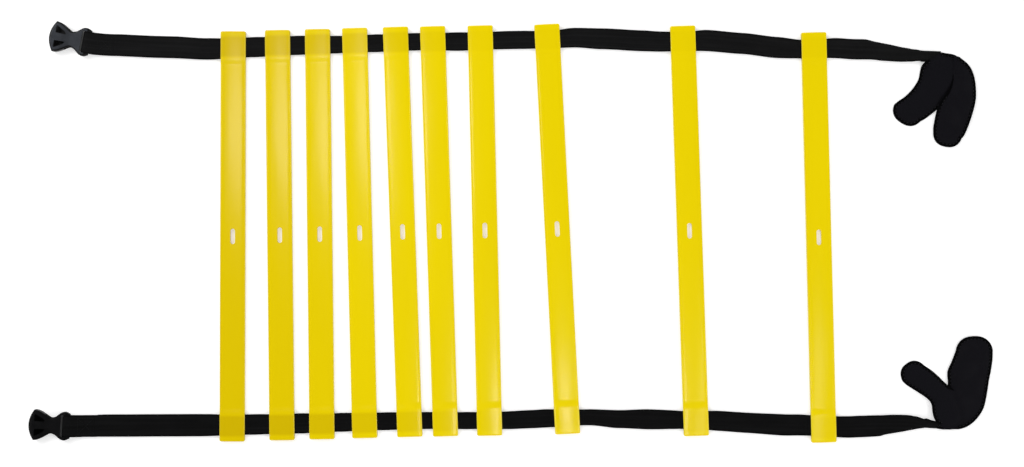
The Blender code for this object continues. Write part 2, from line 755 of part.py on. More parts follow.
def build():
    clear_scene()
    yellow = make_material("yellow_plastic", (0.84, 0.66, 0.006), 0.28)
    nylon = make_material("black_webbing", (0.010, 0.010, 0.011), 0.75)
    plastic = make_material("black_plastic", (0.018, 0.019, 0.022), 0.35)
    padding = make_material("black_padding", (0.010, 0.010, 0.012), 0.85)
    hooks = make_material("black_hooks", (0.008, 0.008, 0.008), 0.9)

    ladder = bpy.data.objects.new("ladder", None)
    bpy.context.scene.collection.objects.link(ladder)
    upper = Route(1, UPPER_ROUTE_SHARES, UPPER_BUCKLE_YAW_DEGREES)
    lower = Route(-1, LOWER_ROUTE_SHARES, LOWER_BUCKLE_YAW_DEGREES)

    rung_mesh = make_rung_mesh(yellow)
    for number, place in enumerate(RUNG_PLACE_SHARES, 1):
        rung = add_object(f"rung_{number}", rung_mesh, None, ladder)
        rung.matrix_world = rung_pose(place, RUNG_TILT_DEGREES[number - 1], upper, lower)

    make_strap("upper_strap", upper, UPPER_FOLD_ROLL_DEGREES, nylon, ladder)
    make_strap("lower_strap", lower, LOWER_FOLD_ROLL_DEGREES, nylon, ladder)

    buckle_mesh = make_buckle_mesh(plastic)
    place_buckle("upper_buckle", buckle_mesh, upper, UPPER_BUCKLE_YAW_DEGREES, ladder)
    place_buckle("lower_buckle", buckle_mesh, lower, LOWER_BUCKLE_YAW_DEGREES, ladder)

    rows = tab_rows(upper, UPPER_LOOP_SHARES, LOOP_TAB_WIDTH, UPPER_LOOP_TIP_SHARE, 0.0, 0.0)
    make_tab("upper_loop_tab", rows, crease_seam(upper), padding, ladder)
    seam = tab_seam(upper, UPPER_HOOK_SEAM_SHARES, HOOK_TAB_WIDTH, STACK_LIFT)
    rows = tab_rows(
        upper, UPPER_HOOK_SHARES, HOOK_TAB_WIDTH, UPPER_HOOK_TIP_SHARE, STACK_LIFT, PATCH_LIFT
    )
    make_tab("upper_hook_tab", rows, seam, padding, ladder)
    make_patch("upper_hook_patch", rows, seam, hooks, ladder)

    rows = tab_rows(
        lower, LOWER_HOOK_SHARES, HOOK_TAB_WIDTH, LOWER_HOOK_TIP_SHARE, PATCH_LIFT, PATCH_LIFT
    )
    make_tab("lower_hook_tab", rows, crease_seam(lower), padding, ladder)
    make_patch("lower_hook_patch", rows, crease_seam(lower), hooks, ladder)
    seam = tab_seam(lower, LOWER_LOOP_SEAM_SHARES, LOOP_TAB_WIDTH, PATCH_LIFT + STACK_LIFT)
    rows = tab_rows(
        lower, LOWER_LOOP_SHARES, LOOP_TAB_WIDTH, LOWER_LOOP_TIP_SHARE, PATCH_LIFT + STACK_LIFT, 0.0
    )
    make_tab("lower_loop_tab", rows, seam, padding, ladder)
    centre_on_ground(ladder)


build()
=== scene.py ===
# %% [markdown]
# # An agility ladder, dressed for its photograph
#
# The ladder is ten yellow plastic slats on two runs of black webbing. At one end each run is sewn
# round the bar of a buckle, and at the other it ends in two padded tabs that bundle the ladder up.
# The frame holds every part as a plain solid at its real size. This lesson loads the frame, and then
# makes what the eye sees around it: moulded plastic, woven webbing, padded cloth, thread and light.

# %% Load the frame
import math

import bmesh
import bpy
import numpy as np
from mathutils import Matrix, Vector


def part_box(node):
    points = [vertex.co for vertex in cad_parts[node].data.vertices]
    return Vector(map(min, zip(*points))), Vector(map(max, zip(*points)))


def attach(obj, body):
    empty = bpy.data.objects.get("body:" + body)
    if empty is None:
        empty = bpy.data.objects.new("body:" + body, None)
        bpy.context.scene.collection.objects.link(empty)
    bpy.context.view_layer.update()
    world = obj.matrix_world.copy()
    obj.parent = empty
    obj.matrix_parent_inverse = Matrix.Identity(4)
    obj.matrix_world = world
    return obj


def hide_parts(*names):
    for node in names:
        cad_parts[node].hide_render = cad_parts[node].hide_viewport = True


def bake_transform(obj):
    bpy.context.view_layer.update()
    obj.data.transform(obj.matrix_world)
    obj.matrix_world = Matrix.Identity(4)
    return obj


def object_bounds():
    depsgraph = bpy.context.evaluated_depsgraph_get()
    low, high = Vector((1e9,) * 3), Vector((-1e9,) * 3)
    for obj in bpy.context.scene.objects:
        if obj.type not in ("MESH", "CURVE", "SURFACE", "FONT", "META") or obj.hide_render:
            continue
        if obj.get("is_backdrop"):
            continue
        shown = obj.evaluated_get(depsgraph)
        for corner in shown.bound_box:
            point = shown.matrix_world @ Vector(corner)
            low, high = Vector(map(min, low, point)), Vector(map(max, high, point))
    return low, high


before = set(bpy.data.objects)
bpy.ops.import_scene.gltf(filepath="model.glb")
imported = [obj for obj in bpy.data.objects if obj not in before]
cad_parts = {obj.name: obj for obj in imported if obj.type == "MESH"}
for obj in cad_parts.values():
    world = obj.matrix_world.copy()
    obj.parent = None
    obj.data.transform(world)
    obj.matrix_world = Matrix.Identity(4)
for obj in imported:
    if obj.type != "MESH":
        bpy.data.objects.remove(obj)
cad_low, cad_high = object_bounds()
print("solids:", len(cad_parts), "box:", [round(x, 4) for x in (*cad_low, *cad_high)])

# %% [markdown]
# ## The camera
#
# The photograph looks straight down at the ladder on the floor. A camera two metres up shows a
# hair's breadth of each slat's side, as the photograph does, where a flat view from far away would
# show none. The lens follows from the width of floor that the photograph takes in.

# %% Camera
CAMERA_HEIGHT = 2.0
VIEW_WIDTH = 1.2506
VIEW_CENTRE = (0.0011, -0.0016)
SENSOR_MM = 36.0


def add_object(name, data):
    made = bpy.data.objects.new(name, data)
    bpy.context.scene.collection.objects.link(made)
    return made


camera_data = bpy.data.cameras.new("overhead_camera")
camera_data.sensor_width = SENSOR_MM
camera_data.lens = SENSOR_MM * CAMERA_HEIGHT / VIEW_WIDTH
camera_data.clip_start = CAMERA_HEIGHT / 100
camera_data.clip_end = CAMERA_HEIGHT * 20
camera = add_object("overhead_camera", camera_data)
camera.location = (*VIEW_CENTRE, CAMERA_HEIGHT)
bpy.context.scene.camera = camera
bpy.context.scene.view_settings.view_transform = "Standard"
print("lens:", round(camera_data.lens, 1), "mm")

# %% [markdown]
# ## Shader graphs in short
#
# Every finish below is a small graph of nodes round one Principled shader. One class keeps those
# graphs readable. Its calls add a node with its settings and inputs, or a common pair of nodes, and
# hand back the output. An input is either a number or the output of another node.

# %% Graph helpers
HALF_TURN = math.pi


class Graph:
    """The nodes of a material or a world, added and joined in short calls."""

    def __init__(self, owner):
        owner.use_nodes = True
        self.owner = owner
        self.tree = owner.node_tree

    def node(self, kind, inputs=(), **settings):
        made = self.tree.nodes.new("ShaderNode" + kind)
        for name, value in settings.items():
            setattr(made, name, value)
        self.feed(made, inputs)
        return made

    def feed(self, made, inputs):
        for key, value in dict(inputs).items():
            socket = made.inputs[key]
            if isinstance(value, bpy.types.NodeSocket):
                self.tree.links.new(value, socket)
            else:
                socket.default_value = value

    def math(self, operation, *values):
        return self.node("Math", enumerate(values), operation=operation).outputs[0]

    def humps(self, value, rate=HALF_TURN):
        """A row of humps from 0 to 1 along a value."""
        return self.math("ABSOLUTE", self.math("SINE", self.math("MULTIPLY", value, rate)))

    def place(self, scale=(1, 1, 1)):
        """The piece's own coordinates, in metres: across, along and up."""
        lay = self.node("Attribute", attribute_name="lay").outputs["Vector"]
        return self.node("VectorMath", {0: lay, 1: scale}, operation="MULTIPLY").outputs[0]

    def axes(self):
        """Those coordinates as three single outputs."""
        return self.node("SeparateXYZ", {0: self.place()}).outputs

    def noise(self, grains, detail=3.0, roughness=0.5):
        """Noise with so many grains to the metre, the same every way or across, along and up."""
        scale = grains if isinstance(grains, tuple) else (grains,) * 3
        return self.node("TexNoise", {
            "Vector": self.place(scale), "Scale": 1.0, "Detail": detail, "Roughness": roughness,
        }).outputs["Fac"]

    def remap(self, value, low, high, to_low=0.0, to_high=1.0, **settings):
        return self.node("MapRange", {
            "Value": value, "From Min": low, "From Max": high, "To Min": to_low, "To Max": to_high,
        }, **settings).outputs[0]

    def blend(self, share, first, second):
        """A colour between two, by a share."""
        return self.node("Mix", {0: share, 6: first, 7: second}, data_type="RGBA").outputs[2]

    def over(self, colour, value, low, high, most, other):
        """A colour that turns to another, by up to a share, as a value goes from low to high."""
        return self.blend(self.remap(value, low, high, 0.0, most), colour, other)

    def bump(self, height, depth, strength=1.0, after=None):
        """Relief of a depth in metres, on top of earlier relief."""
        inputs = {"Height": height, "Distance": depth, "Strength": strength}
        if after is not None:
            inputs["Normal"] = after
        return self.node("Bump", inputs).outputs[0]

    def coat(self, colour, roughness, relief, specular=0.5, more=()):
        """Feeds the Principled shader and hands back the finished material."""
        self.feed(self.tree.nodes["Principled BSDF"], {
            "Base Color": colour, "Roughness": roughness, "Normal": relief,
            "Specular IOR Level": specular, **dict(more),
        })
        return self.owner


def new_finish(name):
    return Graph(bpy.data.materials.new(name))


def rgb(red, green, blue):
    return (red, green, blue, 1.0)


def grey(level):
    """A dark grey that is a little blue, as black plastic and yarn are."""
    return rgb(level, level, level * 1.06)


# %% [markdown]
# ## Yellow plastic
#
# The slats are injection-moulded in one glossy yellow. A single colour would look like paper, so the
# finish has what moulding and use leave: a slow waviness that bends reflections and fine scuffs that
# run along the slat. The ends are a duller yellow over the webbing, partly where the thin roof lets
# the black show through and partly as painted shade. The first slats are also painted a darker yellow
# all over, as painted shade. Both are plainest on the first slats, so the slat's number, which is
# hidden in the height of its coordinates, decides how much. The edges and side walls are painted a
# darker, duller yellow, as painted shade.
# The second to fourth slats lie a little askew, and so their streak of light is off the middle. A
# slope of a few degrees in the relief does that, and leaves the shapes alone.

# %% Slat finish
STRAP_LINE = 0.2313
STRAP_WIDTH = 0.025
NUMBER_STEP = 0.37
YELLOW, WARM_YELLOW = rgb(0.775, 0.595, 0.0005), rgb(0.825, 0.640, 0.0008)
FIRST_SLATS_SHADE_YELLOW = rgb(0.65, 0.470, 0.0005)
SHADED_YELLOW = rgb(0.58, 0.410, 0.0008)
SIDE_SHADE_YELLOW = rgb(0.60, 0.49, 0.05)
SHADED_INNER, SHADED_OUTER = STRAP_WIDTH * 0.42, STRAP_WIDTH * 0.56
SIDE_SHADE_STRIP = (0.0146, 0.0152, 0.7)
# Each of these is two slat numbers and the values that they have there.
SHADE_BY_NUMBER = (1.35, 7.03, 0.85, 0.12)
FIRST_SLATS_SHADE_BY_NUMBER = (1.08, 4.32, 0.7, 0.0)
SLOPE_GROWS = (1.08, 3.92, 0.0, 0.095)
SLOPE_STOPS = (4.32, 4.86, 1.0, 0.0)
FLOW_GRAINS, WAVE_GRAINS, SCUFF_GRAINS, SPECK_GRAINS = (30, 4, 30), (60, 12, 60), (900, 60, 900), 2500
WAVE_DEPTH = 0.00020
SCUFF_DEPTH = 0.000002
SCUFF_ROUGHNESS = (0.35, 0.75, 0.15, 0.20)


def yellow_plastic():
    graph = new_finish("yellow_plastic_moulded")
    across, along, up = graph.axes()
    number = graph.math("DIVIDE", up, NUMBER_STEP)
    off_line = graph.math("ABSOLUTE", graph.math("SUBTRACT", graph.math("ABSOLUTE", along), STRAP_LINE))
    # The ends are darker over the webbing: partly the black showing through the thin roof, partly painted
    # shade, strongest on the first slats.
    darkest = graph.remap(number, *SHADE_BY_NUMBER)
    over_webbing = graph.remap(off_line, SHADED_INNER, SHADED_OUTER, darkest, 0.0)
    colour = graph.blend(graph.noise(FLOW_GRAINS), YELLOW, WARM_YELLOW)
    # The first slats are painted a darker yellow all over: painted shade.
    colour = graph.blend(graph.remap(number, *FIRST_SLATS_SHADE_BY_NUMBER), colour, FIRST_SLATS_SHADE_YELLOW)
    colour = graph.blend(over_webbing, colour, SHADED_YELLOW)
    # The edges and side walls get a darker, duller yellow: painted shade.
    colour = graph.over(colour, graph.math("ABSOLUTE", across), *SIDE_SHADE_STRIP, SIDE_SHADE_YELLOW)
    scuffs = graph.noise(SCUFF_GRAINS, 2.0, 0.6)
    slope = graph.math("MULTIPLY", *(graph.remap(number, *ways) for ways in (SLOPE_GROWS, SLOPE_STOPS)))
    relief = graph.bump(graph.math("MULTIPLY", across, slope), 1.0)
    relief = graph.bump(graph.noise(WAVE_GRAINS, 1.0, 0.4), WAVE_DEPTH, 1.0, relief)
    relief = graph.bump(scuffs, SCUFF_DEPTH, 0.5, relief)
    relief = graph.bump(graph.noise(SPECK_GRAINS, 2.0), SCUFF_DEPTH, 0.5, relief)
    return graph.coat(colour, graph.remap(scuffs, *SCUFF_ROUGHNESS), relief, specular=0.38)


# %% [markdown]
# ## Webbing
#
# The runs are woven from thick polypropylene yarn. Close to, such webbing is a row of lengthwise
# ribs, each made of slanted floats that alternate from rib to rib like a herringbone. An image could
# hold that pattern, but two sine waves and a parity test make it at any size, and they follow each
# strap's own across and along coordinates, so the ribs bend with it. The gaps between the floats and
# the rounded selvedges are painted darker, as painted shade. The upper run gets a lighter copy of the
# finish and the lower run a darker one, as painted light and shade.

# %% Webbing finish
RIB_PITCH = 0.00125
FLOAT_PITCH = 0.0017
SHADED_GAP_GREY, YARN_GREY, DUST_GREY, STREAK_GREY, SELVEDGE_SHADE_GREY = 0.0018, 0.0058, 0.0110, 0.0130, 0.0006
# Each of these is where a colour starts and is full, and how much of it there is then.
DUST = (0.45, 0.8, 0.35)
STREAKS = (0.45, 0.75, 0.5)
SELVEDGE_SHADE = (STRAP_WIDTH * 0.43, STRAP_WIDTH * 0.48, 0.8)
DUST_GRAINS, STREAK_GRAINS, FUZZ_GRAINS = (90, 22, 90), (420, 5, 1), 2600
WEAVE_DEPTH = 0.00022
FUZZ_DEPTH = 0.00008
WEAVE_ROUGHNESS = (0.0, 1.0, 0.85, 0.62)


def woven_webbing(name, shade):
    graph = new_finish(name)
    across, along, up = graph.axes()
    ribs = graph.math("DIVIDE", across, RIB_PITCH)
    parity = graph.math("FLOORED_MODULO", graph.math("FLOOR", ribs), 2.0)
    slant = graph.math("MULTIPLY", graph.math("FRACT", ribs), graph.math("SUBTRACT", parity, 0.5))
    floats = graph.math("ADD", graph.math("DIVIDE", along, FLOAT_PITCH), slant)
    threads = [graph.math("POWER", graph.humps(turns), 0.5) for turns in (ribs, floats)]
    weave = graph.math("MULTIPLY", *threads)
    # Darker in the gaps between the floats: painted shade.
    colour = graph.blend(weave, grey(SHADED_GAP_GREY * shade), grey(YARN_GREY * shade))
    dust, streaks = graph.noise(DUST_GRAINS, 4.0, 0.6), graph.noise(STREAK_GRAINS, 2.0)
    colour = graph.over(colour, dust, *DUST, grey(DUST_GREY * shade))
    colour = graph.over(colour, streaks, *STREAKS, grey(STREAK_GREY * shade))
    # The rounded selvedges get a darker grey: painted shade.
    colour = graph.over(colour, graph.math("ABSOLUTE", across), *SELVEDGE_SHADE, grey(SELVEDGE_SHADE_GREY))
    relief = graph.bump(weave, WEAVE_DEPTH, 0.9)
    relief = graph.bump(graph.noise(FUZZ_GRAINS, 2.0), FUZZ_DEPTH, 0.5, relief)
    return graph.coat(colour, graph.remap(weave, *WEAVE_ROUGHNESS), relief, specular=0.075 * shade)


# %% [markdown]
# ## Padded cloth, pile, binding and thread
#
# The tabs are foam between two layers of cloth. The outer layer of a hook tab is a fine plain weave.
# The loop tab's is brushed into a soft pile that hooks can grip, so it is made of noise and not of
# yarn. The edges are bound with a narrow ribbed tape, whose ribs run across it. Sewing thread is two
# strands that are twisted together, which slanting humps show well enough at this size. The gaps
# between threads and ribs, the deep pile and the grooves between the strands are painted darker, as
# painted shade.

# %% Cloth finishes
CLOTH_PITCH = 0.00055
BINDING_PITCH = 0.00062
TWIST_ALONG, TWIST_ACROSS = 5200.0, 6000.0
CLOTH_GAP_SHADE, CLOTH_YARN = rgb(0.0026, 0.0024, 0.0036), rgb(0.0056, 0.0052, 0.0074)
CLOTH_WORN = rgb(0.0085, 0.0082, 0.0100)
PILE_DEEP_SHADE, PILE_TIP = rgb(0.0024, 0.0023, 0.0034), rgb(0.0078, 0.0074, 0.0100)
TAPE_GAP_SHADE, TAPE_RIB = rgb(0.0005, 0.0005, 0.0006), rgb(0.0018, 0.0018, 0.0022)
HOOK_DARK, HOOK_PALE = rgb(0.005, 0.005, 0.005), rgb(0.012, 0.012, 0.012)
CLOTH_DEPTH, CLOTH_FUZZ_DEPTH, CLUMP_DEPTH, PILE_DEPTH = 0.00012, 0.00007, 0.00025, 0.00018
RIB_DEPTH, TAPE_FUZZ_DEPTH, PLY_DEPTH, HOOK_DEPTH = 0.00012, 0.00005, 0.00006, 0.00005
WORN = (0.45, 0.8, 0.4)
PILE_TIPS = (0.3, 0.75, 1.0)
CLOTH_ROUGHNESS = (0.3, 0.7, 0.72, 0.88)
HOOK_ROUGHNESS = (0.3, 0.7, 0.45, 0.7)


def plain_cloth():
    graph = new_finish("black_cloth_plain")
    across, along, up = graph.axes()
    turns = [graph.math("MULTIPLY", way, math.pi / CLOTH_PITCH) for way in (across, along)]
    waves = [graph.math("SINE", turn) for turn in turns]
    weave = graph.remap(graph.math("MULTIPLY", *waves), -1.0, 1.0)
    fuzz = graph.noise(2200)
    # Darker between the threads: painted shade.
    colour = graph.blend(weave, CLOTH_GAP_SHADE, CLOTH_YARN)
    colour = graph.over(colour, graph.noise(45, 4.0, 0.6), *WORN, CLOTH_WORN)
    relief = graph.bump(fuzz, CLOTH_FUZZ_DEPTH, 0.6, graph.bump(weave, CLOTH_DEPTH, 0.8))
    return graph.coat(colour, graph.remap(fuzz, *CLOTH_ROUGHNESS), relief, specular=0.06)


def brushed_pile():
    graph = new_finish("black_pile_brushed")
    loops = graph.noise((1500, 900, 1500), 4.0, 0.7)
    clumps = graph.noise((260, 180, 260), 3.0, 0.6)
    relief = graph.bump(loops, PILE_DEPTH, 0.9, graph.bump(clumps, CLUMP_DEPTH, 0.6))
    # The deep pile is painted darker than the tips: painted shade.
    return graph.coat(graph.over(PILE_DEEP_SHADE, loops, *PILE_TIPS, PILE_TIP), 0.92, relief, specular=0.05,
                      more={"Sheen Weight": 0.015, "Sheen Roughness": 0.5})


def ribbed_binding():
    graph = new_finish("black_binding_ribbed")
    across, along, up = graph.axes()
    rib = graph.humps(along, math.pi / BINDING_PITCH)
    relief = graph.bump(graph.noise(FUZZ_GRAINS, 2.0), TAPE_FUZZ_DEPTH, 0.5, graph.bump(rib, RIB_DEPTH, 0.8))
    # Darker between the ribs: painted shade.
    return graph.coat(graph.blend(rib, TAPE_GAP_SHADE, TAPE_RIB), 0.80, relief, specular=0.02)


def twisted_thread(name, dark, light):
    graph = new_finish(name)
    across, along, up = graph.axes()
    strands = graph.math("ADD", graph.math("MULTIPLY", along, TWIST_ALONG),
                         graph.math("MULTIPLY", across, TWIST_ACROSS))
    ply = graph.humps(strands, 1.0)
    # Darker in the grooves between the strands, lighter on the crests: painted shade and light.
    colour, relief = graph.blend(ply, grey(dark), grey(light)), graph.bump(ply, PLY_DEPTH, 0.8)
    return graph.coat(colour, 0.6, relief, specular=0.1)


def hook_tape():
    graph = new_finish("black_hook_tape")
    specks = graph.noise(1800, 2.0)
    colour, relief = graph.blend(specks, HOOK_DARK, HOOK_PALE), graph.bump(specks, HOOK_DEPTH, 0.6)
    return graph.coat(colour, graph.remap(specks, *HOOK_ROUGHNESS), relief)


# %% [markdown]
# ## Black plastic
#
# The buckles are satin black plastic. The mould's fine spark-cut texture gives them their soft
# shine. The top of one buckle catches the light in a grey sheen, so the finish takes a colour for
# that painted sheen, and the other buckle gets a fainter one. The painted sheen grows with the
# height and leaves the sides and the hollows black. The height that it reads is measured as if the
# housing were the same all along, and its top at 5.5 mm.

# %% Buckle finish
SHEEN_FROM, SHEEN_FULLY = 0.00530, 0.00549
PLASTIC_GREY = 0.0015
TEXTURE_DEPTH = 0.00002
PLASTIC_ROUGHNESS = (0.3, 0.7, 0.30, 0.44)


def satin_plastic(name, painted_sheen, most, specular):
    graph = new_finish(name)
    across, along, up = graph.axes()
    patches = graph.noise(120, 4.0, 0.65)
    share = graph.remap(patches, 0.3, 0.7, most * 0.7, most)
    # Painted sheen: lighter towards the top of the housing.
    share = graph.math("MULTIPLY", share, graph.remap(up, SHEEN_FROM, SHEEN_FULLY))
    relief = graph.bump(graph.noise(2800, 2.0), TEXTURE_DEPTH, 0.6)
    colour = graph.blend(share, grey(PLASTIC_GREY), painted_sheen)
    return graph.coat(colour, graph.remap(patches, *PLASTIC_ROUGHNESS), relief, specular)


finish = {
    "slat": yellow_plastic(),
    # The upper run's copy is lighter and the lower run's darker: painted light and shade.
    "upper_webbing": woven_webbing("black_webbing_lit_copy", 0.86),
    "lower_webbing": woven_webbing("black_webbing_shaded_copy", 0.6),
    "cloth": plain_cloth(),
    "pile": brushed_pile(),
    "binding": ribbed_binding(),
    "thread": twisted_thread("black_thread_twisted", 0.002, 0.007),
    "pale_thread": twisted_thread("grey_thread_twisted", 0.006, 0.022),
    "hooks": hook_tape(),
    # Each buckle has a painted sheen on its top, the upper one's stronger.
    "upper_buckle": satin_plastic("black_plastic_painted_sheen", rgb(0.041, 0.045, 0.054), 0.85, 0.14),
    "lower_buckle": satin_plastic("black_plastic_faint_painted_sheen", rgb(0.0085, 0.0085, 0.0092), 0.6, 0.05),
}
print("finishes:", len(finish))

# %% [markdown]
# ## Making a piece from points
#
# Most pieces are rings of points joined into a skin, because a skin of even quads shades smoothly and
# keeps its lines along the part. Each point also stores where it lies on the piece, across and along,
# in metres. The finishes read that instead of a flat map, so nothing has to be unwrapped.

# %% Piece helpers
def ease(share):
    """A smooth step from 0 to 1."""
    share = min(max(share, 0.0), 1.0)
    return share * share * (3 - 2 * share)


def between(first, last, share):
    return first + (last - first) * share


def arc(x, y, radius, start, end, steps):
    """Points on an arc from one angle to another, in degrees."""
    turns = [math.radians(between(start, end, step / steps)) for step in range(steps + 1)]
    return [(x + radius * math.cos(turn), y + radius * math.sin(turn)) for turn in turns]


def skin(rows, count, first=0):
    """Quads that join rows of points into an open tube."""
    faces = []
    for row in range(rows - 1):
        low, high = first + row * count, first + (row + 1) * count
        for step in range(count):
            after = (step + 1) % count
            faces.append((low + step, low + after, high + after, high + step))
    return faces


def tube(rows, count, first=0):
    """A skin with a face over each end."""
    ends = (first, first + (rows - 1) * count)
    return skin(rows, count, first) + [tuple(range(end, end + count)) for end in ends]


def new_mesh(name, points, faces):
    """A mesh whose faces all look outwards."""
    mesh = bpy.data.meshes.new(name)
    mesh.from_pydata([tuple(point) for point in points], [], faces)
    shape = bmesh.new()
    shape.from_mesh(mesh)
    bmesh.ops.recalc_face_normals(shape, faces=shape.faces)
    shape.to_mesh(mesh)
    shape.free()
    return mesh


def give_lay(mesh, lay):
    """Stores each point's place on its own piece, for the finishes to read."""
    attribute = mesh.attributes.new("lay", "FLOAT_VECTOR", "POINT")
    attribute.data.foreach_set("vector", np.array(lay, np.float32).ravel())


def shade(mesh, degrees):
    """Smooth shading, with edges sharper than an angle left crisp."""
    mesh.shade_smooth()
    mesh.set_sharp_from_angle(angle=math.radians(degrees))


def new_piece(name, points, faces, material, lay, degrees=40.0):
    mesh = new_mesh(name, points, faces)
    give_lay(mesh, lay)
    mesh.materials.append(material)
    shade(mesh, degrees)
    return add_object(name, mesh)


def points_of(mesh):
    return np.array([vertex.co for vertex in mesh.vertices])


def copy_piece(name, mesh, material, lay):
    """A piece from a copy of a mesh that several pieces share the shape of."""
    own = mesh.copy()
    own.name = name
    give_lay(own, lay)
    own.materials.clear()
    own.materials.append(material)
    return add_object(name, own)

# %% [markdown]
# ## The slats
#
# All ten slats come from one mould: a flat bar with a slot in its middle and a raised pad at both
# ends, with a tunnel in each pad for the webbing. The bar is lofted through sections, the openings
# are cut with Booleans, and one small bevel then rounds every cut edge, as a mould would. That is
# less work than modelling the rims by hand, and the highlights on them are what sells the plastic.
# Last, the normals are weighted by face, or the flat top would reflect as if it were dented.

# %% One slat
SLAT_LENGTH = 0.500
SLAT_WIDTH = 0.0307
SLAT_CORNER = 0.0018
SLAT_EDGE = 0.0009
SLAT_CROWN = 0.0004
CROWN_STEPS, EDGE_STEPS, FOOT_STEPS = 6, 5, 3
GROOVE_INSET = 0.0018
GROOVE_WIDTH = 0.0007
GROOVE_DEPTH = 0.00012
PAD_LENGTH = 0.0325
PAD_RISE = 0.0006
PAD_RAMP = 0.0100
RAMP_STEPS = 16
CORNER_STEPS = 6
SECTION_STEP = 0.012
PAD_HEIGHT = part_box("rung_1")[1].z
TUNNEL_WIDTH = 0.0322
TUNNEL_FLOOR = 0.0014
TUNNEL_HEIGHT = 0.0026
TUNNEL_CORNER = 0.0006
SLOT_LENGTH = 0.0188
SLOT_WIDTH = 0.0057
SLOT_CORNER = SLOT_WIDTH * 0.49
SLOT_STEPS = 8
RIM_BEVEL = 0.00028
RIM_DEGREES = 40
SLAT_CRISP_DEGREES = 50
CUT_OVERRUN = 0.002


def slat_section(half_width, top, groove):
    """A loop of (across, height) round the slat, crowned, with a fine groove along each edge."""
    valley, shoulder = half_width - GROOVE_INSET, top - SLAT_CROWN
    places = [valley * step / CROWN_STEPS for step in range(CROWN_STEPS)]
    half = [(x, top - SLAT_CROWN * (x / half_width) ** 2) for x in places]
    rim, depth = GROOVE_WIDTH / 2, GROOVE_DEPTH * groove
    half += [(valley - rim, shoulder), (valley, shoulder - depth), (valley + rim, shoulder)]
    half += arc(half_width - SLAT_EDGE, shoulder - SLAT_EDGE, SLAT_EDGE, 90, 0, EDGE_STEPS)
    foot = SLAT_EDGE / 2
    half += arc(half_width - foot, foot, foot, 0, -90, FOOT_STEPS)
    return half + [(-x, z) for x, z in reversed(half[1:])]


def slat_stations():
    """Places along half a slat, with its half width, its top and its groove's share there."""
    half_length, full = SLAT_LENGTH / 2, SLAT_WIDTH / 2
    pad_start = half_length - PAD_LENGTH
    ramp_start = pad_start - PAD_RAMP
    body = PAD_HEIGHT - PAD_RISE
    count = int(ramp_start / SECTION_STEP)
    stations = [(ramp_start * step / count, full, body, 1.0) for step in range(count)]
    for step in range(RAMP_STEPS + 1):
        share = ease(step / RAMP_STEPS)
        place = between(ramp_start, pad_start, step / RAMP_STEPS)
        stations.append((place, full, between(body, PAD_HEIGHT, share), 1.0 - share))
    for step in range(CORNER_STEPS + 1):
        angle = math.radians(90 * step / CORNER_STEPS)
        inset, droop = SLAT_CORNER * (1 - math.cos(angle)), SLAT_EDGE * (1 - math.cos(angle))
        reach = half_length - SLAT_CORNER * (1 - math.sin(angle))
        stations.append((reach, full - inset, PAD_HEIGHT - droop, 0.0))
    return stations


def stack(name, loops, mirrored=False):
    """A closed mesh through a stack of loops. Mirrored loops are closed with quads, not one face."""
    rows, count = len(loops), len(loops[0])
    points = [point for loop in loops for point in loop]
    if not mirrored:
        return new_mesh(name, points, tube(rows, count))
    faces = skin(rows, count)
    for first in (0, (rows - 1) * count):
        faces.append((first, first + 1, first + count - 1))
        for near in range(1, (count + 1) // 2 - 1):
            far = count - near
            faces.append(tuple(first + corner for corner in (near, near + 1, far - 1, far)))
    return new_mesh(name, points, faces)


def prism(outline, low, high):
    return [[(x, y, z) for x, y in outline] for z in (low, high)]


def bake_modifiers(piece):
    bpy.context.view_layer.update()
    graph = bpy.context.evaluated_depsgraph_get()
    baked = bpy.data.meshes.new_from_object(piece.evaluated_get(graph))
    piece.modifiers.clear()
    piece.data = baked


def modify(piece, kind, **settings):
    """Adds a modifier with its settings and keeps its result."""
    change = piece.modifiers.new(kind.lower(), kind)
    for name, value in settings.items():
        setattr(change, name, value)
    bake_modifiers(piece)


def cut(blank, loops, operation="DIFFERENCE"):
    """Cuts a closed form from a blank, or joins it on."""
    tool = add_object("tool", stack("tool", loops))
    modify(blank, "BOOLEAN", operation=operation, solver="EXACT", object=tool)
    bpy.data.objects.remove(tool, do_unlink=True)


def soften(blank, degrees):
    """Rounds every cut edge, and lets large faces keep their own direction, so the rims shade alone."""
    modify(blank, "BEVEL", width=RIM_BEVEL, segments=2, limit_method="ANGLE",
           angle_limit=math.radians(RIM_DEGREES))
    shade(blank.data, degrees)
    modify(blank, "WEIGHTED_NORMAL", keep_sharp=True, weight=80)


def take_mesh(blank):
    mesh = blank.data
    bpy.data.objects.remove(blank, do_unlink=True)
    return mesh


def rounded_box(width, height, corner, steps=3):
    """A loop of (across, up) with rounded corners, centred."""
    loop = []
    for side_x, side_y, turn in ((1, 1, 0), (-1, 1, 90), (-1, -1, 180), (1, -1, 270)):
        x, y = side_x * (width / 2 - corner), side_y * (height / 2 - corner)
        loop += arc(x, y, corner, turn, turn + 90, steps)
    return loop


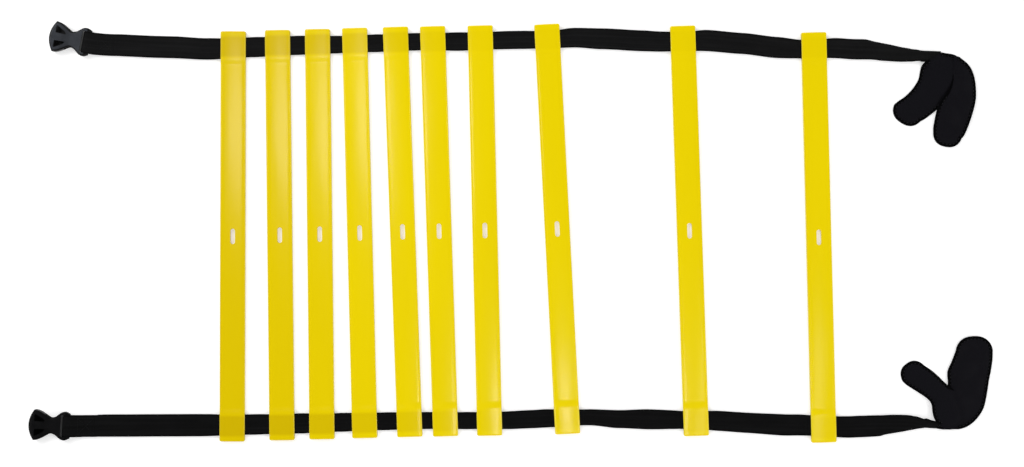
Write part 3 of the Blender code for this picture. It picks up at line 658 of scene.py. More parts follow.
def make_slat_mesh():
    half = slat_stations()
    stations = [(-station[0], *station[1:]) for station in reversed(half[1:])] + half
    blank = add_object("slat_blank", stack("slat_blank", [
        [(x, y, z) for x, z in slat_section(*shape)] for y, *shape in stations
    ]))
    reach = SLAT_WIDTH / 2 + CUT_OVERRUN
    middle = TUNNEL_FLOOR + TUNNEL_HEIGHT / 2
    mouth = rounded_box(TUNNEL_WIDTH, TUNNEL_HEIGHT, TUNNEL_CORNER)
    for side in (-1, 1):
        cut(blank, [[(x, side * STRAP_LINE + y, middle + z) for y, z in mouth] for x in (-reach, reach)])
    slot = rounded_box(SLOT_WIDTH, SLOT_LENGTH, SLOT_CORNER, SLOT_STEPS)
    cut(blank, prism(slot, -CUT_OVERRUN, PAD_HEIGHT + CUT_OVERRUN))
    soften(blank, SLAT_CRISP_DEGREES)
    return take_mesh(blank)


slat_mesh = make_slat_mesh()
print("slat faces:", len(slat_mesh.polygons))

# %% [markdown]
# A slat's place comes from its solid. Its middle is the middle of the solid's box, and its direction
# is the longest axis of the solid's points, so nothing has to be measured twice. Each slat gets its
# own copy of the mesh. Its coordinates are raised by a step for each number, which tells the finish
# the number, and no two slats have the same scuffs.

# %% Ten slats
WELD = 0.00001


def solid_place(node):
    """A solid's middle on the ground and the angle that its length is turned by."""
    points = np.unique(np.round(points_of(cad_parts[node].data) / WELD) * WELD, axis=0)
    low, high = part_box(node)
    middle = (low + high) / 2
    axis = np.linalg.svd(points[:, :2] - np.array(middle.xy), full_matrices=False)[2][0]
    axis = axis * math.copysign(1.0, axis[1])
    return Vector((middle.x, middle.y, 0.0)), math.atan2(-axis[0], axis[1])


slat_places = {}
for number in range(1, 11):
    node = f"rung_{number}"
    middle, turn = slat_places[node] = solid_place(node)
    lay = points_of(slat_mesh) + np.array((0.0, 0.0, NUMBER_STEP * number))
    slat = copy_piece(f"slat_{number}", slat_mesh, finish["slat"], lay)
    slat.matrix_world = Matrix.Translation(middle) @ Matrix.Rotation(turn, 4, "Z")
    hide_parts(node)
    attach(slat, node)
    print(node, "turned", round(math.degrees(turn), 2), "degrees")

# %% [markdown]
# ## Where the webbing runs
#
# Each run of webbing is a flat band swept along one line on the floor. The line is a smooth curve
# through a few places, each a share of the ladder's span with a sway sideways. The solids were made
# from the same line, so the band here lies where they are. The whole ladder was then centred on its
# box, and the first slat shows by how much.

# %% Routes
SPAN = 0.7166
UPPER_ROUTE_SHARES = (
    (-0.2463, 0.04), (-0.219, -0.05), (-0.185, -0.09), (-0.123, -0.17), (-0.031, -0.20),
    (0.037, -0.14), (0.148, -0.06), (0.290, 0.06), (0.431, 0.13), (0.552, 0.20), (0.665, 0.18),
    (0.778, 0.10), (0.883, -0.05), (0.977, -0.20), (1.045, -0.27), (1.112, -0.33), (1.184, -0.43),
)
LOWER_ROUTE_SHARES = (
    (-0.2806, -0.15), (-0.232, -0.16), (-0.164, -0.16), (-0.029, -0.16), (0.044, -0.12),
    (0.148, -0.05), (0.290, 0.06), (0.431, 0.12), (0.555, 0.20), (0.665, 0.20), (0.785, 0.12),
    (0.887, -0.04), (0.977, -0.17), (1.045, -0.22), (1.122, -0.20), (1.197, -0.27),
)
FIRST_SLAT_SHARE = 0.003
BUCKLE_YAW = {"upper": -11.0, "lower": -3.0}


class Route:
    """One run's middle line from its buckle's bar to its tabs. Side is 1 for upper, -1 for lower."""

    def __init__(self, side, shares, yaw_degrees):
        self.side = side
        self.x = x = [along * SPAN for along, sway in shares]
        self.y = y = [side * STRAP_LINE + sway * STRAP_WIDTH for along, sway in shares]
        self.slopes = [math.tan(math.radians(yaw_degrees))]
        for i in range(1, len(x)):
            after = min(i + 1, len(x) - 1)
            self.slopes.append((y[after] - y[i - 1]) / (x[after] - x[i - 1]))
        self.shift = Vector((0, 0, 0))
        self.heading = Vector((1.0, self.slopes[0], 0.0)).normalized()

    def bar(self):
        """The middle of the buckle's bar, on the ground."""
        return Vector((self.x[0], self.y[0], 0.0)) + self.shift

    def at(self, x):
        """The point and the direction where the line passes x, measured before centring."""
        i = 0
        while i < len(self.x) - 2 and x > self.x[i + 1]:
            i += 1
        width = self.x[i + 1] - self.x[i]
        t = (x - self.x[i]) / width
        rise, first, last = self.y[i + 1] - self.y[i], self.slopes[i] * width, self.slopes[i + 1] * width
        bend = first + last - 2 * rise
        lean = 3 * rise - 2 * first - last
        y = self.y[i] + t * (first + t * (lean + t * bend))
        slope = (first + t * (2 * lean + t * 3 * bend)) / width
        return Vector((x, y, 0.0)) + self.shift, Vector((1.0, slope, 0.0)).normalized()

    def from_bar(self, distance):
        """The point and the direction at a distance from the buckle's bar."""
        return self.at(self.x[0] + distance * self.heading.x)

    def end(self):
        """The point and the direction where the solid's webbing ends."""
        return self.at(self.x[-1])

    def outward(self, direction):
        """Across the run and away from the middle of the ladder."""
        return Vector((-direction.y, direction.x, 0.0)) * self.side


routes = {
    "upper": Route(1, UPPER_ROUTE_SHARES, BUCKLE_YAW["upper"]),
    "lower": Route(-1, LOWER_ROUTE_SHARES, BUCKLE_YAW["lower"]),
}
middle, turn = slat_places["rung_1"]
first_x = FIRST_SLAT_SHARE * SPAN
reach = STRAP_LINE * math.sin(turn)
crossing = (routes["upper"].at(first_x - reach)[0] + routes["lower"].at(first_x + reach)[0]) / 2
for route in routes.values():
    route.shift = Vector((middle.x - first_x, middle.y - crossing.y, 0.0))
print("centred by", [round(x * 1000, 2) for x in routes["upper"].shift], "mm")

# %% [markdown]
# ## The webbing itself
#
# The band's section is a thin strip with rounded selvedges. The slats' tunnels squeeze the webbing,
# so it is narrower between slats that stand close together, and it sways a little where a slat has
# been pushed along it. The photograph shows both. A simulation could find them, but a short table of
# places is exact and easy to change.

# %% How the webbing lies
# Each row is a place along the span, the band's share of its full width, and a sideways sway in mm.
UPPER_SQUEEZE = (
    (-0.25, 1.00, 0.0), (-0.10, 1.00, 0.0), (-0.04, 0.98, -1.6), (0.05, 0.92, -1.0), (0.12, 0.88, -0.2),
    (0.19, 0.80, -0.6), (0.25, 0.81, -0.4), (0.32, 0.80, 0.2), (0.39, 0.84, -0.4), (0.47, 0.82, 0.2),
    (0.54, 0.82, -0.3), (0.585, 0.89, 2.0), (0.63, 0.95, 0.9), (0.70, 0.95, -0.8), (0.73, 0.92, -1.3),
    (0.77, 0.93, -0.3), (0.81, 0.97, 2.0), (0.87, 0.96, 0.7), (0.93, 0.96, -1.8), (0.965, 0.87, -2.2),
    (1.00, 0.90, -0.5), (1.03, 0.92, 0.7), (1.06, 0.925, 0.0), (1.088, 0.93, 0.4), (1.114, 0.98, -0.1),
    (1.139, 0.975, -0.35), (1.157, 0.98, 0.4), (1.17, 0.985, 1.45), (1.186, 0.985, 1.7), (1.21, 0.985, 1.7),
)
LOWER_SQUEEZE = (
    (-0.28, 1.02, 0.0), (-0.20, 1.02, 0.6), (-0.06, 1.02, 1.1), (-0.02, 1.00, 1.2),
    (0.05, 0.93, 1.0), (0.12, 0.93, 1.0), (0.19, 0.86, 1.0),
    (0.27, 0.81, 0.8), (0.34, 0.78, 0.7), (0.41, 0.78, -0.1), (0.47, 0.81, -0.6), (0.51, 0.82, 0.0),
    (0.54, 0.83, 0.6), (0.61, 0.72, 1.4), (0.66, 0.81, -0.6), (0.71, 0.91, -0.3), (0.77, 0.83, 0.0),
    (0.83, 0.91, 0.9), (0.88, 0.92, 0.6), (0.94, 0.97, 0.4), (0.97, 0.96, 1.3), (1.05, 0.98, 0.4),
    (1.071, 0.985, 0.8), (1.105, 0.966, 1.3), (1.13, 1.025, 1.3), (1.148, 1.03, 1.35), (1.165, 1.01, 0.95),
    (1.177, 0.94, 0.3), (1.197, 0.68, 0.0), (1.22, 0.64, 0.0),
)
STRAP_THICKNESS = 0.0018
RUN_HEIGHT = 0.0027
RIPPLE = 0.00012
RIPPLE_RATE = 130
STRIP_STEPS = 36


def curve_through(points, steps):
    """A smooth curve through the points, with this many steps between each two."""
    out = []
    for index in range(len(points) - 1):
        p0, p1 = points[max(index - 1, 0)], points[index]
        p2, p3 = points[index + 1], points[min(index + 2, len(points) - 1)]
        for step in range(steps):
            t = step / steps
            out.append(tuple(
                0.5 * (2 * b + (c - a) * t + (2 * a - 5 * b + 4 * c - d) * t**2
                       + (3 * b - a - 3 * c + d) * t**3)
                for a, b, c, d in zip(p0, p1, p2, p3)
            ))
    out.append(tuple(points[-1]))
    return out


def squeeze_at(table, share):
    """The width share and the sway in metres at a place along the span."""
    for first, last in zip(table, table[1:]):
        if share <= last[0]:
            break
    t = ease((share - first[0]) / (last[0] - first[0]))
    return between(first[1], last[1], t), between(first[2], last[2], t) / 1000


# %% [markdown]
# Near the tabs the outer edge of the band folds over along a slanting crease, until the band is
# double and half as wide. The section below has that fold in it: a flat part, a tight bend and a
# flap underneath whose width grows along the crease. One function draws the flat band and the folded.

# %% The band's section
FOLD_BEND = 0.00095
FOLD_TURN = math.radians(-174)
SELVEDGE_THINNING = 0.15
SELVEDGE_SHARE = 0.1


def strip_profile(width, turn, flap):
    """Middle line of the section: places across, heights, the strip's angle and its own place."""
    bend = math.pi * FOLD_BEND
    flat = width - flap - bend
    points, across, height, before = [], -width / 2, 0.0, 0.0
    for step in range(STRIP_STEPS + 1):
        length = width * step / STRIP_STEPS
        angle = turn * min(max((length - flat) / bend, 0.0), 1.0)
        if points:
            middle = (angle + points[-1][2]) / 2
            across += (length - before) * math.cos(middle)
            height += (length - before) * math.sin(middle)
        points.append((across, height, angle, length - width / 2))
        before = length
    return points


def strip_ring(centre, up, outward, width, turn, flap, roll):
    """One loop of points round the band, and each one's place across it."""
    top, bottom, caps = [], [], []
    for index, (across, height, angle, lay) in enumerate(strip_profile(width, turn, flap)):
        middle = centre + outward * (across * math.cos(roll) - height * math.sin(roll))
        middle += up * (height * math.cos(roll) + across * math.sin(roll))
        cosine, sine = math.cos(angle + roll), math.sin(angle + roll)
        normal, run = up * cosine - outward * sine, outward * cosine + up * sine
        off_middle = abs(2 * index / STRIP_STEPS - 1)
        selvedge = ease((off_middle - 1 + SELVEDGE_SHARE) / SELVEDGE_SHARE)
        half = STRAP_THICKNESS / 2 * (1 - SELVEDGE_THINNING * selvedge)
        top.append((middle + normal * half, lay))
        bottom.append((middle - normal * half, lay))
        if index in (0, STRIP_STEPS):
            side = -1 if index == 0 else 1
            caps.append([(middle + run * (side * x) + normal * z, lay + side * STRAP_THICKNESS / 4)
                         for x, z in arc(0, 0, half, 45, -45, 2)])
    ring = top + caps[1] + bottom[::-1] + caps[0][::-1]
    return [point for point, lay in ring], [lay for point, lay in ring]


# %% [markdown]
# Along its length the band starts as a short tail on the floor, climbs round the buckle's bar, comes
# back down over the tail and runs on through the slats. The stations below are that path. Its last
# 17 mm narrow and reach on past the solid's end, into the padded tab that is sewn round them. Just
# before the tab the band also leans over on its edge, as twisted webbing does, and lies flat again.
# Whatever would sink below the floor is pressed flat on it.

# %% The band's path
TAIL_LENGTH = 0.036
TAIL_APPROACH = 0.012
LOOP_DESCENT = 0.024
LAYER_GAP = 0.0004
BAR_HEIGHT = 0.0055
LOOP_RADIUS = 0.0033
TAIL_STEPS = 10
LOOP_STEPS = 24
DESCENT_STEPS = 16
OVERLAP_STEPS = 6
RUN_STEPS = 340
CREASE_START = {"upper": 0.0856, "lower": 0.0760}
CREASE_DONE = {"upper": 0.006, "lower": 0.011}
CREASE_POWER = 1.55
FOLD_LIFT = 0.0007
ROLL_START = 0.038
ROLL_PEAK = 0.004
ROLL_DONE = 0.012
END_ROLL = {"upper": math.radians(-10), "lower": math.radians(-34)}
END_REACH = 0.017
END_TAPER = 0.80
FLOOR_SOFTNESS = 0.0006
GATHER = 0.028
GATHER_REACH = 0.007
GATHER_MEAN = GATHER * 0.4
# The shares of the crease by which the band is lifted and its flap is fully turned under.
LIFTED, TURNED = 0.2, 0.5
UP = Vector((0.0, 0.0, 1.0))


def on_floor(point):
    """The point, with heights near the floor and below it pressed together just above it."""
    if point.z > FLOOR_SOFTNESS:
        return point
    return Vector((point.x, point.y, FLOOR_SOFTNESS * math.exp(point.z / FLOOR_SOFTNESS - 1)))


def gathered(point):
    """How much the slats' tunnels gather the band at a point between them."""
    tightest = 0.0
    for middle, turn in slat_places.values():
        off_slat = (point.x - middle.x) * math.cos(turn) + (point.y - middle.y) * math.sin(turn)
        gap = max(abs(off_slat) - SLAT_WIDTH / 2, 0.0)
        tightest = max(tightest, math.exp(-((gap / GATHER_REACH) ** 2)))
    return 1 - GATHER * tightest


def eased_way(start, end, high, low, steps):
    """Places and heights of an eased way from one level to another, without its first."""
    shares = [step / steps for step in range(1, steps + 1)]
    return [(between(start, end, share), between(high, low, ease(share))) for share in shares]


def loop_stations(route):
    """The sewn tail and the loop round the bar."""
    tail = STRAP_THICKNESS / 2
    over_tail = tail + STRAP_THICKNESS + LAYER_GAP
    path = [(TAIL_LENGTH, tail)] + eased_way(TAIL_LENGTH, TAIL_APPROACH, tail, tail, TAIL_STEPS)
    path += eased_way(TAIL_APPROACH, 0.0, tail, BAR_HEIGHT - LOOP_RADIUS, TAIL_STEPS)[:-1]
    path += arc(0.0, BAR_HEIGHT, LOOP_RADIUS, -90, -270, LOOP_STEPS)
    path += eased_way(0.0, LOOP_DESCENT, BAR_HEIGHT + LOOP_RADIUS, over_tail, DESCENT_STEPS)
    path += eased_way(LOOP_DESCENT, TAIL_LENGTH, over_tail, over_tail, OVERLAP_STEPS)
    stations = []
    for index, (distance, height) in enumerate(path):
        before, after = path[max(index - 1, 0)], path[min(index + 1, len(path) - 1)]
        pitch = Vector((after[0] - before[0], after[1] - before[1])).normalized()
        if distance > LOOP_RADIUS:
            point, direction = route.from_bar(distance)
        else:
            point, direction = route.bar() + route.heading * distance, route.heading
        centre = Vector((point.x, point.y, height))
        stations.append((centre, direction, UP * pitch.x - direction * pitch.y, 1.0, 0.0, 0.0, 0.0))
    return stations


def run_stations(route, side):
    """The straight run, and the slanting fold at its end."""
    table = UPPER_SQUEEZE if side == "upper" else LOWER_SQUEEZE
    start, end = route.x[0] + TAIL_LENGTH * route.heading.x, route.x[-1]
    level = STRAP_THICKNESS * 1.5 + LAYER_GAP
    crease_start, crease_done = end - CREASE_START[side], end - CREASE_DONE[side]
    stations = []
    for step in range(1, RUN_STEPS + 1):
        x = between(start, end + END_REACH, step / RUN_STEPS)
        on_line, past = min(x, end), max(x - end, 0.0)
        point, direction = route.at(on_line)
        width, sway = squeeze_at(table, on_line / SPAN)
        settle = ease((x - start) / (STRAP_WIDTH / 2))
        width = between(1.0, width, settle) * gathered(point) * (1 + GATHER_MEAN)
        width *= 1 - END_TAPER * past / END_REACH
        crease = min(max((x - crease_start) / (crease_done - crease_start), 0.0), 1.0)
        rolled = ease((x - end + ROLL_START) / (ROLL_START - ROLL_PEAK))
        rolled *= 1 - ease((x - end + ROLL_PEAK) / (ROLL_PEAK + ROLL_DONE))
        ripple = RIPPLE * math.sin(x * RIPPLE_RATE + 2 * route.side) * settle * (1 - crease)
        point = point + direction * past + route.outward(direction) * sway * route.side
        point.z = between(level, RUN_HEIGHT, settle) + FOLD_LIFT * ease(crease / LIFTED) + ripple
        flap = (STRAP_WIDTH * width - math.pi * FOLD_BEND) / 2 * crease**CREASE_POWER
        turn = FOLD_TURN * ease(crease / TURNED)
        stations.append((point, direction, UP, width, turn, flap, END_ROLL[side] * rolled))
    return stations


def make_webbing(side, route):
    points, lay, along = [], [], 0.0
    stations = loop_stations(route) + run_stations(route, side)
    before = stations[0][0]
    for centre, direction, up, share, turn, flap, roll in stations:
        along += (centre - before).length
        before = centre
        ring, across = strip_ring(centre, up, route.outward(direction), STRAP_WIDTH * share, turn, flap, roll)
        points += [on_floor(point) for point in ring]
        lay += [(place / share, along, route.side * 0.2) for place in across]
    count = len(ring)
    faces = skin(len(stations), count)
    for first in (0, (len(stations) - 1) * count):
        for step in range(STRIP_STEPS):
            far = 2 * STRIP_STEPS + 4 - step
            faces.append((first + step, first + step + 1, first + far - 1, first + far))
        faces.append(tuple(first + corner for corner in range(STRIP_STEPS, STRIP_STEPS + 5)))
        faces.append((first, *(first + corner for corner in range(2 * STRIP_STEPS + 4, count))))
    print(side, "webbing is", round(along, 3), "m long")
    return new_piece(f"{side}_webbing", points, faces, finish[f"{side}_webbing"], lay, 60.0)


TAB_JOINED = {"upper": "upper_loop_tab", "lower": "lower_hook_tab"}
for side, route in routes.items():
    band = make_webbing(side, route)
    end, direction = route.end()
    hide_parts(f"{side}_strap")
    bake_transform(band)

# %% [markdown]
# ## Stitching
#
# Thread shows as rows of short raised stitches. Each stitch is a tiny capsule laid along a line, and
# a whole seam is one mesh. Real thread dips into the cloth at both ends of a stitch, so the capsules
# are pinched there. They are far too small to need more than six sides.

# %% Stitches
STITCH_PITCH = 0.0032
STITCH_LENGTH = 0.0024
THREAD_RADIUS = 0.00024
# Where each ring of a stitch lies along it, and its share of the thread's radius.
STITCH_RINGS = ((-0.5, 0.15), (-0.36, 0.8), (0.0, 1.0), (0.36, 0.8), (0.5, 0.15))
STITCH_SIDES = 6
THREAD_SINK = 0.6


class Seam:
    """Collects stitches and turns them into one piece."""

    def __init__(self, thickness=1.0):
        self.points, self.faces, self.lay = [], [], []
        self.radius = THREAD_RADIUS * thickness

    def stitch(self, middle, along, up):
        side = along.cross(up).normalized()
        first = len(self.points)
        for place, share in STITCH_RINGS:
            centre = middle + along * (place * STITCH_LENGTH) + up * (self.radius * (share - THREAD_SINK))
            for corner in range(STITCH_SIDES):
                angle = math.tau * corner / STITCH_SIDES
                spoke = side * math.cos(angle) + up * math.sin(angle)
                self.points.append(centre + spoke * (self.radius * share))
                self.lay.append((angle * self.radius, place * STITCH_LENGTH, 0.01 * first))
        self.faces += tube(len(STITCH_RINGS), STITCH_SIDES, first)

    def row(self, line, pitch=STITCH_PITCH):
        """Stitches evenly spaced along a line of points."""
        ahead = pitch / 2
        for start, end in zip(line, line[1:]):
            length = (end - start).length
            along = (end - start) / length
            while ahead < length:
                self.stitch(start + along * ahead, along, UP)
                ahead += pitch
            ahead -= length

    def piece(self, name, thread="thread"):
        return new_piece(name, self.points, self.faces, finish[thread], self.lay, 80.0)


# %% [markdown]
# The tail of each run is sewn to the run above it with a box and a cross, the usual way to fix
# webbing. All of it rides on the webbing.

# %% Box and cross stitching
BOX_START, BOX_END = 0.0145, 0.0335
BOX_HALF_WIDTH = STRAP_WIDTH / 2 - 0.0030
BOX_PITCH = 0.0029
LINE_STEPS = 8
SEWN_HEIGHT = STRAP_THICKNESS * 2 + LAYER_GAP


def on_tail(route, distance, across):
    """A point on top of the sewn tail."""
    point, direction = route.from_bar(distance)
    loop_top = BAR_HEIGHT + LOOP_RADIUS + STRAP_THICKNESS / 2
    height = between(loop_top, SEWN_HEIGHT, ease(distance / LOOP_DESCENT))
    return Vector((point.x, point.y, height)) + route.outward(direction) * across


# The needle goes round the box and then along both diagonals, by corners of (end, side).
BOX_WAY = ((0, -1), (0, 1), (1, 1), (1, -1), (0, -1), (1, 1), (1, -1), (0, 1))
for side, route in routes.items():
    seam = Seam()
    corners = [(between(BOX_START, BOX_END, far), across * BOX_HALF_WIDTH) for far, across in BOX_WAY]
    for first, last in zip(corners, corners[1:]):
        shares = [step / LINE_STEPS for step in range(LINE_STEPS + 1)]
        line = [on_tail(route, *(between(a, b, share) for a, b in zip(first, last))) for share in shares]
        seam.row(line, BOX_PITCH)
    sewn = seam.piece(f"{side}_box_stitching")
    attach(sewn, "webbing")

# %% [markdown]
# ## The buckles
#
# Each run ends in the socket half of a side-release buckle: a flat housing that is open at its mouth
# and at its waist, where the other half's prongs spring out. Its plan is the recognisable part, so
# one smooth outline is drawn and stacked into loops. The top edge falls away over a wider strip than
# it drops, which leaves the soft shoulder that catches the light. Then the housing is cut: the
# hollow, two windows, and the gap that leaves the crossbar for the webbing.

# %% The buckle's outline
BUCKLE_LENGTH = 0.0442
BUCKLE_HEIGHT = 0.011
BUCKLE_END_HEIGHT = 0.0082
BUCKLE_EDGE = 0.0026
BUCKLE_EDGE_DROP = 0.0016
EDGE_DEGREES = (0, 22, 45, 67, 90)
MOUTH_WIDTH = 0.0370
MOUTH_STEPS = 12
WAIST_WIDTH = 0.0192
SHOULDER_WIDTH = 0.0345
ARM_REACH = 0.0054
ARM_TIP_HEIGHT = 0.0044
# The side's places as shares of the length, and how far it has widened from the waist.
MOUTH_SIDE_SHARES = (
    (0.86, 1.00), (0.77, 0.95), (0.67, 0.76), (0.56, 0.44), (0.46, 0.13), (0.39, 0.00),
)
SHOULDER_SIDE_SHARES = ((0.30, 0.14), (0.25, 0.31), (0.17, 0.68), (0.10, 0.93), (0.00, 1.00))
ARM_END_SHARE = 0.70
SIDE_STEPS = 6


def buckle_outline():
    """The whole outline, anticlockwise, with the mouth towards -X and the crossbar at zero."""
    waist = WAIST_WIDTH / 2
    sides = ((MOUTH_SIDE_SHARES, MOUTH_WIDTH / 2), (SHOULDER_SIDE_SHARES, SHOULDER_WIDTH / 2))
    side = [(-along * BUCKLE_LENGTH, between(waist, widest, share))
            for shares, widest in sides for along, share in shares]
    side.append((ARM_REACH, between(waist, SHOULDER_WIDTH / 2, ARM_END_SHARE)))
    corner_x, corner_y = side[0]
    steps = [step / MOUTH_STEPS for step in range(MOUTH_STEPS)]
    half = [(between(-BUCKLE_LENGTH, corner_x, share**2), corner_y * share) for share in steps]
    half += curve_through(side, SIDE_STEPS)
    return [(x, -y) for x, y in half] + half[:0:-1]


def outward_normals(points):
    normals = []
    for index, point in enumerate(points):
        before, after = Vector(points[index - 1]), Vector(points[(index + 1) % len(points)])
        middle = (Vector(point) - before).normalized() + (after - Vector(point)).normalized()
        normals.append(Vector((middle.y, -middle.x)).normalized())
    return normals


# %% The buckle's body
CAVITY_WIDTH = 0.0264
CAVITY_HEIGHT = 0.0064
CAVITY_DEPTH = 0.0335
MOUTH_FLARE = 0.0022
FLARE_START = 0.80
BAR_RADIUS = 0.0020
BAR_SIDES = 24
BAR_GAP = 0.0054
BUCKLE_CRISP_DEGREES = 45
BAR_HALF_SPAN = STRAP_WIDTH / 2 + 0.0007
WINDOW_SHARES = ((0.84, 0.76), (0.84, 0.26), (0.55, 0.24), (0.59, 0.42))


def half_height(x):
    """Half the housing's height at a distance from its crossbar."""
    height = between(BUCKLE_END_HEIGHT, BUCKLE_HEIGHT, ease(-x / BUCKLE_LENGTH))
    return between(height, ARM_TIP_HEIGHT, min(max(x / ARM_REACH, 0.0), 1.0) ** 2) / 2


def housing_loops():
    """Loops up the housing's wall, from its floor to its roof, with both edges rounded."""
    outline = buckle_outline()
    normals = outward_normals(outline)
    loops = []
    for side, angles in ((-1, EDGE_DEGREES), (1, EDGE_DEGREES[::-1])):
        for angle in angles:
            inset = BUCKLE_EDGE * (1 - math.sin(math.radians(angle)))
            drop = BUCKLE_EDGE_DROP * (1 - math.cos(math.radians(angle)))
            loops.append([(x - normal.x * inset, y - normal.y * inset, side * (half_height(x) - drop))
                          for (x, y), normal in zip(outline, normals)])
    return loops


def make_buckle_mesh():
    body = add_object("buckle_blank", stack("buckle_blank", housing_loops(), mirrored=True))
    half_width, past = CAVITY_WIDTH / 2, BUCKLE_LENGTH + CUT_OVERRUN
    hollow = [(CAVITY_DEPTH - BUCKLE_LENGTH, half_width), (-FLARE_START * BUCKLE_LENGTH, half_width),
              (-past, half_width + MOUTH_FLARE)]
    hollow += [(x, -y) for x, y in reversed(hollow)]
    cut(body, prism(hollow, -CAVITY_HEIGHT / 2, CAVITY_HEIGHT / 2))
    above = BUCKLE_HEIGHT / 2 + CUT_OVERRUN
    for half_mouth in (-MOUTH_WIDTH / 2, MOUTH_WIDTH / 2):
        window = [(-along * BUCKLE_LENGTH, across * half_mouth) for along, across in WINDOW_SHARES]
        cut(body, prism(window, 0.0, above))
    gap_end = ARM_REACH + CUT_OVERRUN
    gap = [(-BAR_GAP, -BAR_HALF_SPAN), (gap_end, -BAR_HALF_SPAN),
           (gap_end, BAR_HALF_SPAN), (-BAR_GAP, BAR_HALF_SPAN)]
    cut(body, prism(gap, -above, above))
    soften(body, BUCKLE_CRISP_DEGREES)
    reach = (BAR_HALF_SPAN + SHOULDER_WIDTH / 2) / 2
    circle = arc(0, 0, BAR_RADIUS, 0, 360, BAR_SIDES)[:-1]
    cut(body, [[(x, y, z) for x, z in circle] for y in (-reach, reach)], "UNION")
    return take_mesh(body)


buckle_mesh = make_buckle_mesh()
print("buckle faces:", len(buckle_mesh.polygons))

# %% [markdown]
# The mouth has a raised lip along its top. It is a half-round strip that follows the mouth's bow and
# fades out at both ends. As its own small piece it is easy to shape, where a ridge in the housing's
# mesh would have to survive every cut.

# %% The mouth's lip
LIP_RISE = 0.0006
LIP_WIDTH = 0.0022
LIP_SETBACK = 0.0007
LIP_SINK = 0.00015
LIP_STEPS = 40
LIP_FADE = 8
LIP_HALF_SPAN = MOUTH_WIDTH / 2 - BUCKLE_EDGE * 1.6


def make_lip(name, material):
    corner = MOUTH_SIDE_SHARES[0][0] * BUCKLE_LENGTH
    top = BUCKLE_HEIGHT / 2
    half_round = arc(0, 0, 1, 180, 0, 8)
    points, lay = [], []
    for step in range(LIP_STEPS + 1):
        y = between(-LIP_HALF_SPAN, LIP_HALF_SPAN, step / LIP_STEPS)
        front = between(-BUCKLE_LENGTH, -corner, (2 * y / MOUTH_WIDTH) ** 2)
        front += LIP_SETBACK + BUCKLE_EDGE / 2
        middle = front + LIP_WIDTH / 2
        rise = LIP_RISE * ease((1 - abs(2 * step / LIP_STEPS - 1)) * LIP_FADE)
        points += [(middle + LIP_WIDTH / 2 * x, y, top - LIP_SINK + rise * z) for x, z in half_round]
        lay += [(x, y, top) for x, y, z in points[-len(half_round):]]
        points.append((middle, y, top - LIP_RISE))
        lay.append((front, y, 0.0))
    return new_piece(name, points, tube(LIP_STEPS + 1, len(half_round) + 1), material, lay)


# %% [markdown]
# Both buckles share that mesh. Each one sits on its bar, turned to face along its own webbing, and
# rides on its own body, so that it swings about the bar when the frame is posed. The height that the
# finish reads is stretched to be the same all along the top, because the housing slopes.

# %% Two buckles
for side, route in routes.items():
    place = Matrix.Translation(route.bar() + UP * BAR_HEIGHT)
    place = place @ Matrix.Rotation(math.radians(BUCKLE_YAW[side]), 4, "Z")
    lay = points_of(buckle_mesh)
    lay[:, 2] *= BUCKLE_HEIGHT / 2 / np.array([half_height(x) for x in lay[:, 0]])
    material = finish[f"{side}_buckle"]
    buckle = copy_piece(f"{side}_buckle_housing", buckle_mesh, material, lay)
    lip = make_lip(f"{side}_buckle_lip", material)
    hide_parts(f"{side}_buckle")
    for piece in (buckle, lip):
        piece.matrix_world = place
        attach(piece, f"{side}_buckle")

# %% [markdown]
# ## The padded tabs
#
# Each tab is foam between two layers of cloth, cut as a curved lobe and bound all round. Its plan is
# a list of rows that cross it, given ahead of the webbing's end and inward from it, as shares of the
# tab's width. Those are the same rows that the solids were made from. Drawn more finely here, they
# give a smooth outline, and a coordinate along and across the tab for its cloth.

# %% Tab rows
SEAT_GAP = 0.0003
TAB_THICKNESS = 0.0026
PATCH_LIFT = 0.0010 + SEAT_GAP
STACK_LIFT = TAB_THICKNESS + SEAT_GAP
TAB_WIDTHS = {"hook": 0.0430, "loop": 0.0330}
SETTLE_FROM, SETTLE_REACH = 0.6, 0.35
ROW_STEPS = 9
TIP_STEPS = 14
TIP_FROM, TIP_TO = math.radians(11), math.radians(89)
TIP_SQUARENESS = 0.80
